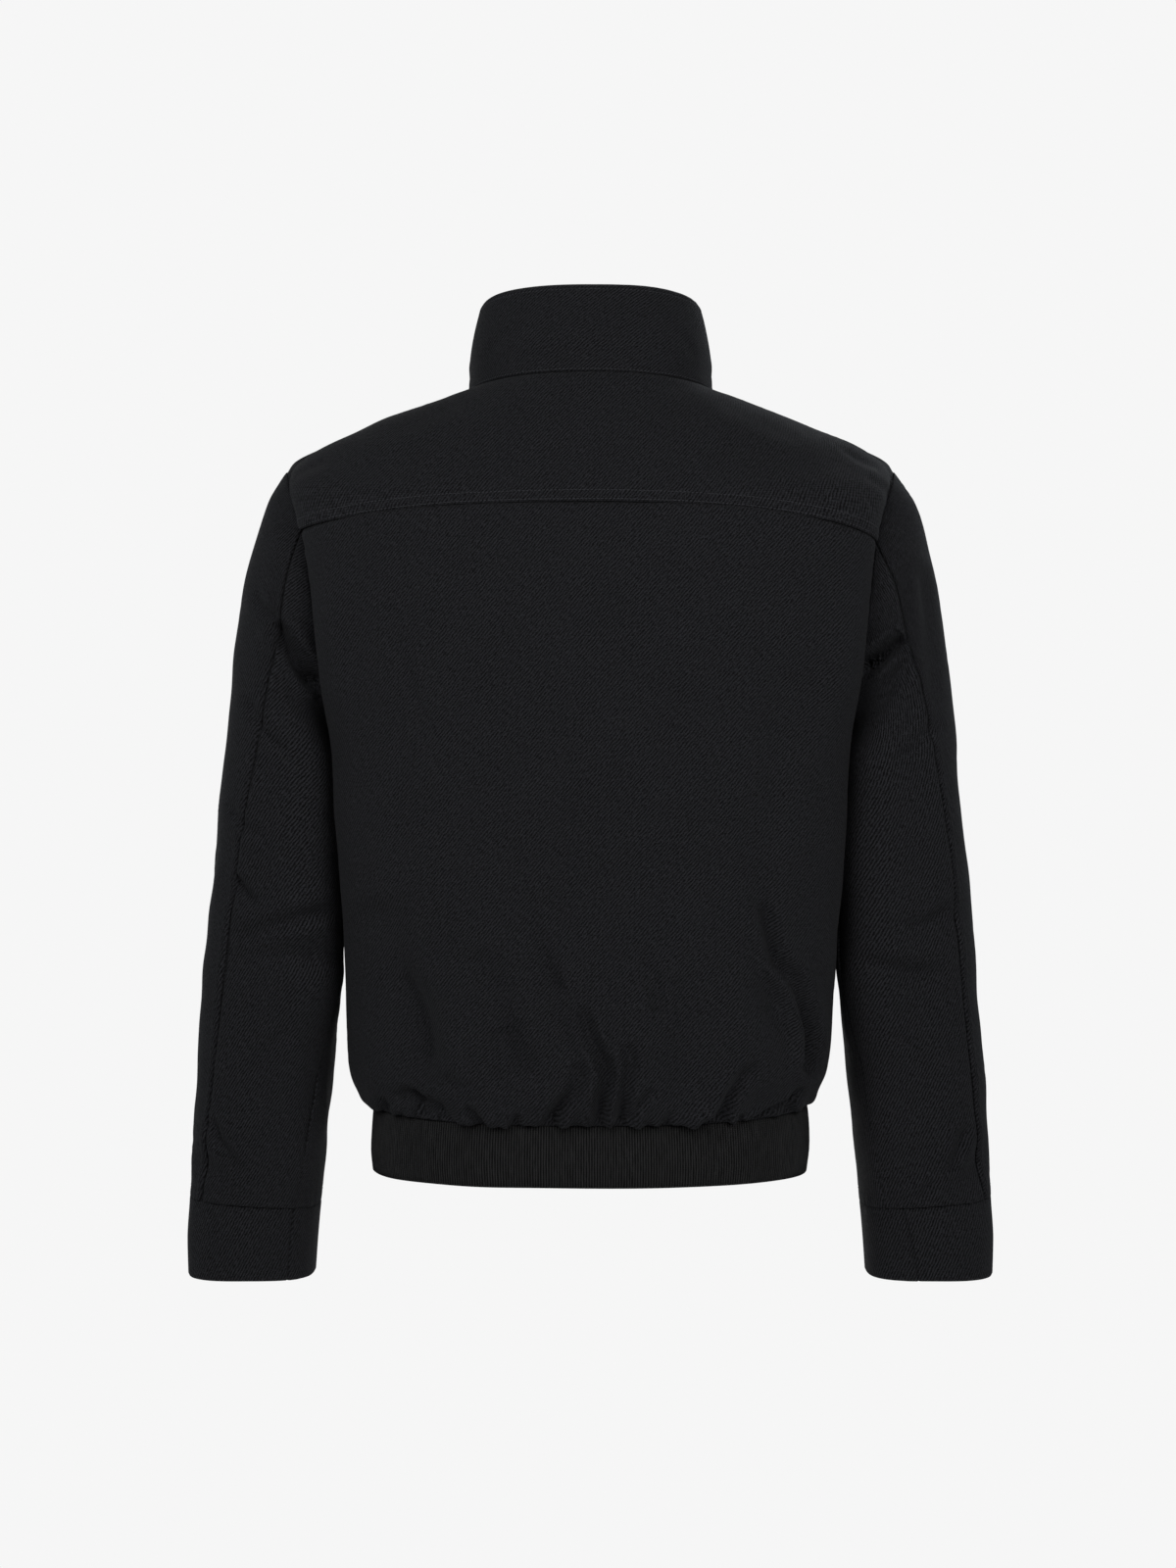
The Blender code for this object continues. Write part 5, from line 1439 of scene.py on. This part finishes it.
for side, edge in SEAM_EDGE.items():
    upper, under = sleeves[side].values()
    hole = [(grid, edge) for grid in (back_grid, yoke_grid, fronts[side])]
    sleeve_seams = [((upper, "low"), hole), ((under, "low"), hole)]
    sleeve_seams += [((upper, "last"), [(under, "first")]), ((upper, "first"), [(under, "last")])]
    sleeve_seams += [((part, "high"), [(cuffs[side], "low")]) for part in (upper, under)]
    sleeve_allowances[side] = allowances(f"seam_allowances_sleeve_{side}", sleeve_seams)

cut(back_grid, 0.560, 0.485, 0.255, "yoke", sewn=[body_allowances])
cut(yoke_grid, 0.560, 0.185, 0.0745, "collar", sewn=[yoke_stitches])
cut(collar_grid, 0.475, 0.092, 0.0345, "yoke", sewn=[collar_stitches])
cut(rib_grid, 0.930, 0.050, 0.0465, "back_panel", "front_left", "front_right", held="gathered")
for side in SIDES:
    sewn = [sleeve_stitches[side], sleeve_allowances[side]]
    cut(fronts[side], 0.275, 0.580, 0.1445, "yoke", sewn=[front_stitches[side]])
    cut(sleeves[side]["upper"], 0.330, 0.600, 0.1450, "yoke", sewn=sewn)
    cut(sleeves[side]["under"], 0.125, 0.525, 0.0455, "back_panel")
    cut(cuffs[side], 0.330, 0.060, 0.0190, f"sleeve_upper_{side}")
for name in ("zip_slider", "zip_box", "zip_stop_left", "zip_stop_right"):
    polished(name)
polished("zip_pull", "pull")
for side in SIDES:
    cut(tape(side), 0.0110, 0.605, 0.0066, f"front_{side}", sewn=[teeth(side)])

# The studio.
SKY = (0.88, 0.94, 1.0)
PLAIN = (1.0, 1.0, 1.0)
# Columns: name, place, size, power, colour.
LAMPS = (
    ("key_behind", (1.5, 1.9, 1.5), 1.2, 12.0, SKY),
    ("right_behind", (-1.3, 2.0, 1.5), 1.2, 6.4, SKY),
    ("left_low", (1.2, 2.4, -0.2), 1.0, 2.4, PLAIN),
    ("right_low", (-1.2, 2.4, -0.2), 1.0, 6.0, PLAIN),
    ("left_upper", (0.7, 1.6, 0.3), 0.8, 8.4, PLAIN),
    ("right_upper", (-0.7, 1.6, 0.3), 0.8, 9.0, PLAIN),
    ("left_rim", (1.9, -0.5, 0.2), 1.2, 8.0, SKY),
    ("right_rim", (-1.9, -0.5, 0.2), 1.2, 6.5, SKY),
    ("key_before", (-1.3, -2.2, 1.3), 1.3, 18.0, SKY),
    ("middle_before", (0.1, -2.6, -0.1), 1.0, 12.0, PLAIN),
    ("fill_before", (0.8, -3.0, 0.1), 2.5, 22.0, PLAIN),
)
BACKDROP, SKYLIGHT = 0.922, 0.06
FLOOR_RADIUS, FLOOR_LEVEL = 1.8, -1.45


def studio():
    world = bpy.data.worlds.new("studio")
    bpy.context.scene.world = world
    world.use_nodes = True
    nodes, links = world.node_tree.nodes, world.node_tree.links
    seen, falling = nodes["Background"], nodes.new("ShaderNodeBackground")
    for background, level in ((seen, BACKDROP), (falling, SKYLIGHT)):
        background.inputs[0].default_value = (level, level, level, 1)
        background.inputs[1].default_value = 1.0
    either, path = nodes.new("ShaderNodeMixShader"), nodes.new("ShaderNodeLightPath")
    links.new(path.outputs["Is Camera Ray"], either.inputs[0])
    links.new(falling.outputs[0], either.inputs[1])
    links.new(seen.outputs[0], either.inputs[2])
    links.new(either.outputs[0], nodes["World Output"].inputs["Surface"])
    floor = bpy.data.meshes.new("floor")
    turns = np.linspace(0, 2 * math.pi, 96, endpoint=False)
    ring = [(FLOOR_RADIUS * math.cos(turn), FLOOR_RADIUS * math.sin(turn), FLOOR_LEVEL) for turn in turns]
    floor.from_pydata(ring, [], [list(range(len(ring)))])
    floor.materials.append(Shading("pale_floor").finished(Base_Color=(0.9, 0.9, 0.9, 1), Roughness=0.9))
    placed("floor", floor)
    for name, place, size, power, colour in LAMPS:
        lamp = bpy.data.lights.new(name, "AREA")
        lamp.size, lamp.energy, lamp.color = size, power, colour
        aim = Vector((0, 0, -0.3)) - Vector(place)
        placed(name, lamp, place).rotation_euler = aim.to_track_quat("-Z", "Y").to_euler()
    eye = bpy.data.cameras.new("camera")
    eye.lens, eye.sensor_width, eye.sensor_fit = 64.3, 36.0, "AUTO"
    camera = placed("camera", eye, (0.0019, 2.2, -0.311))
    camera.rotation_euler = (math.pi / 2, 0, math.pi)
    bpy.context.scene.camera = camera
    bpy.context.scene.view_settings.view_transform = "Standard"


studio()
bpy.context.view_layer.update()
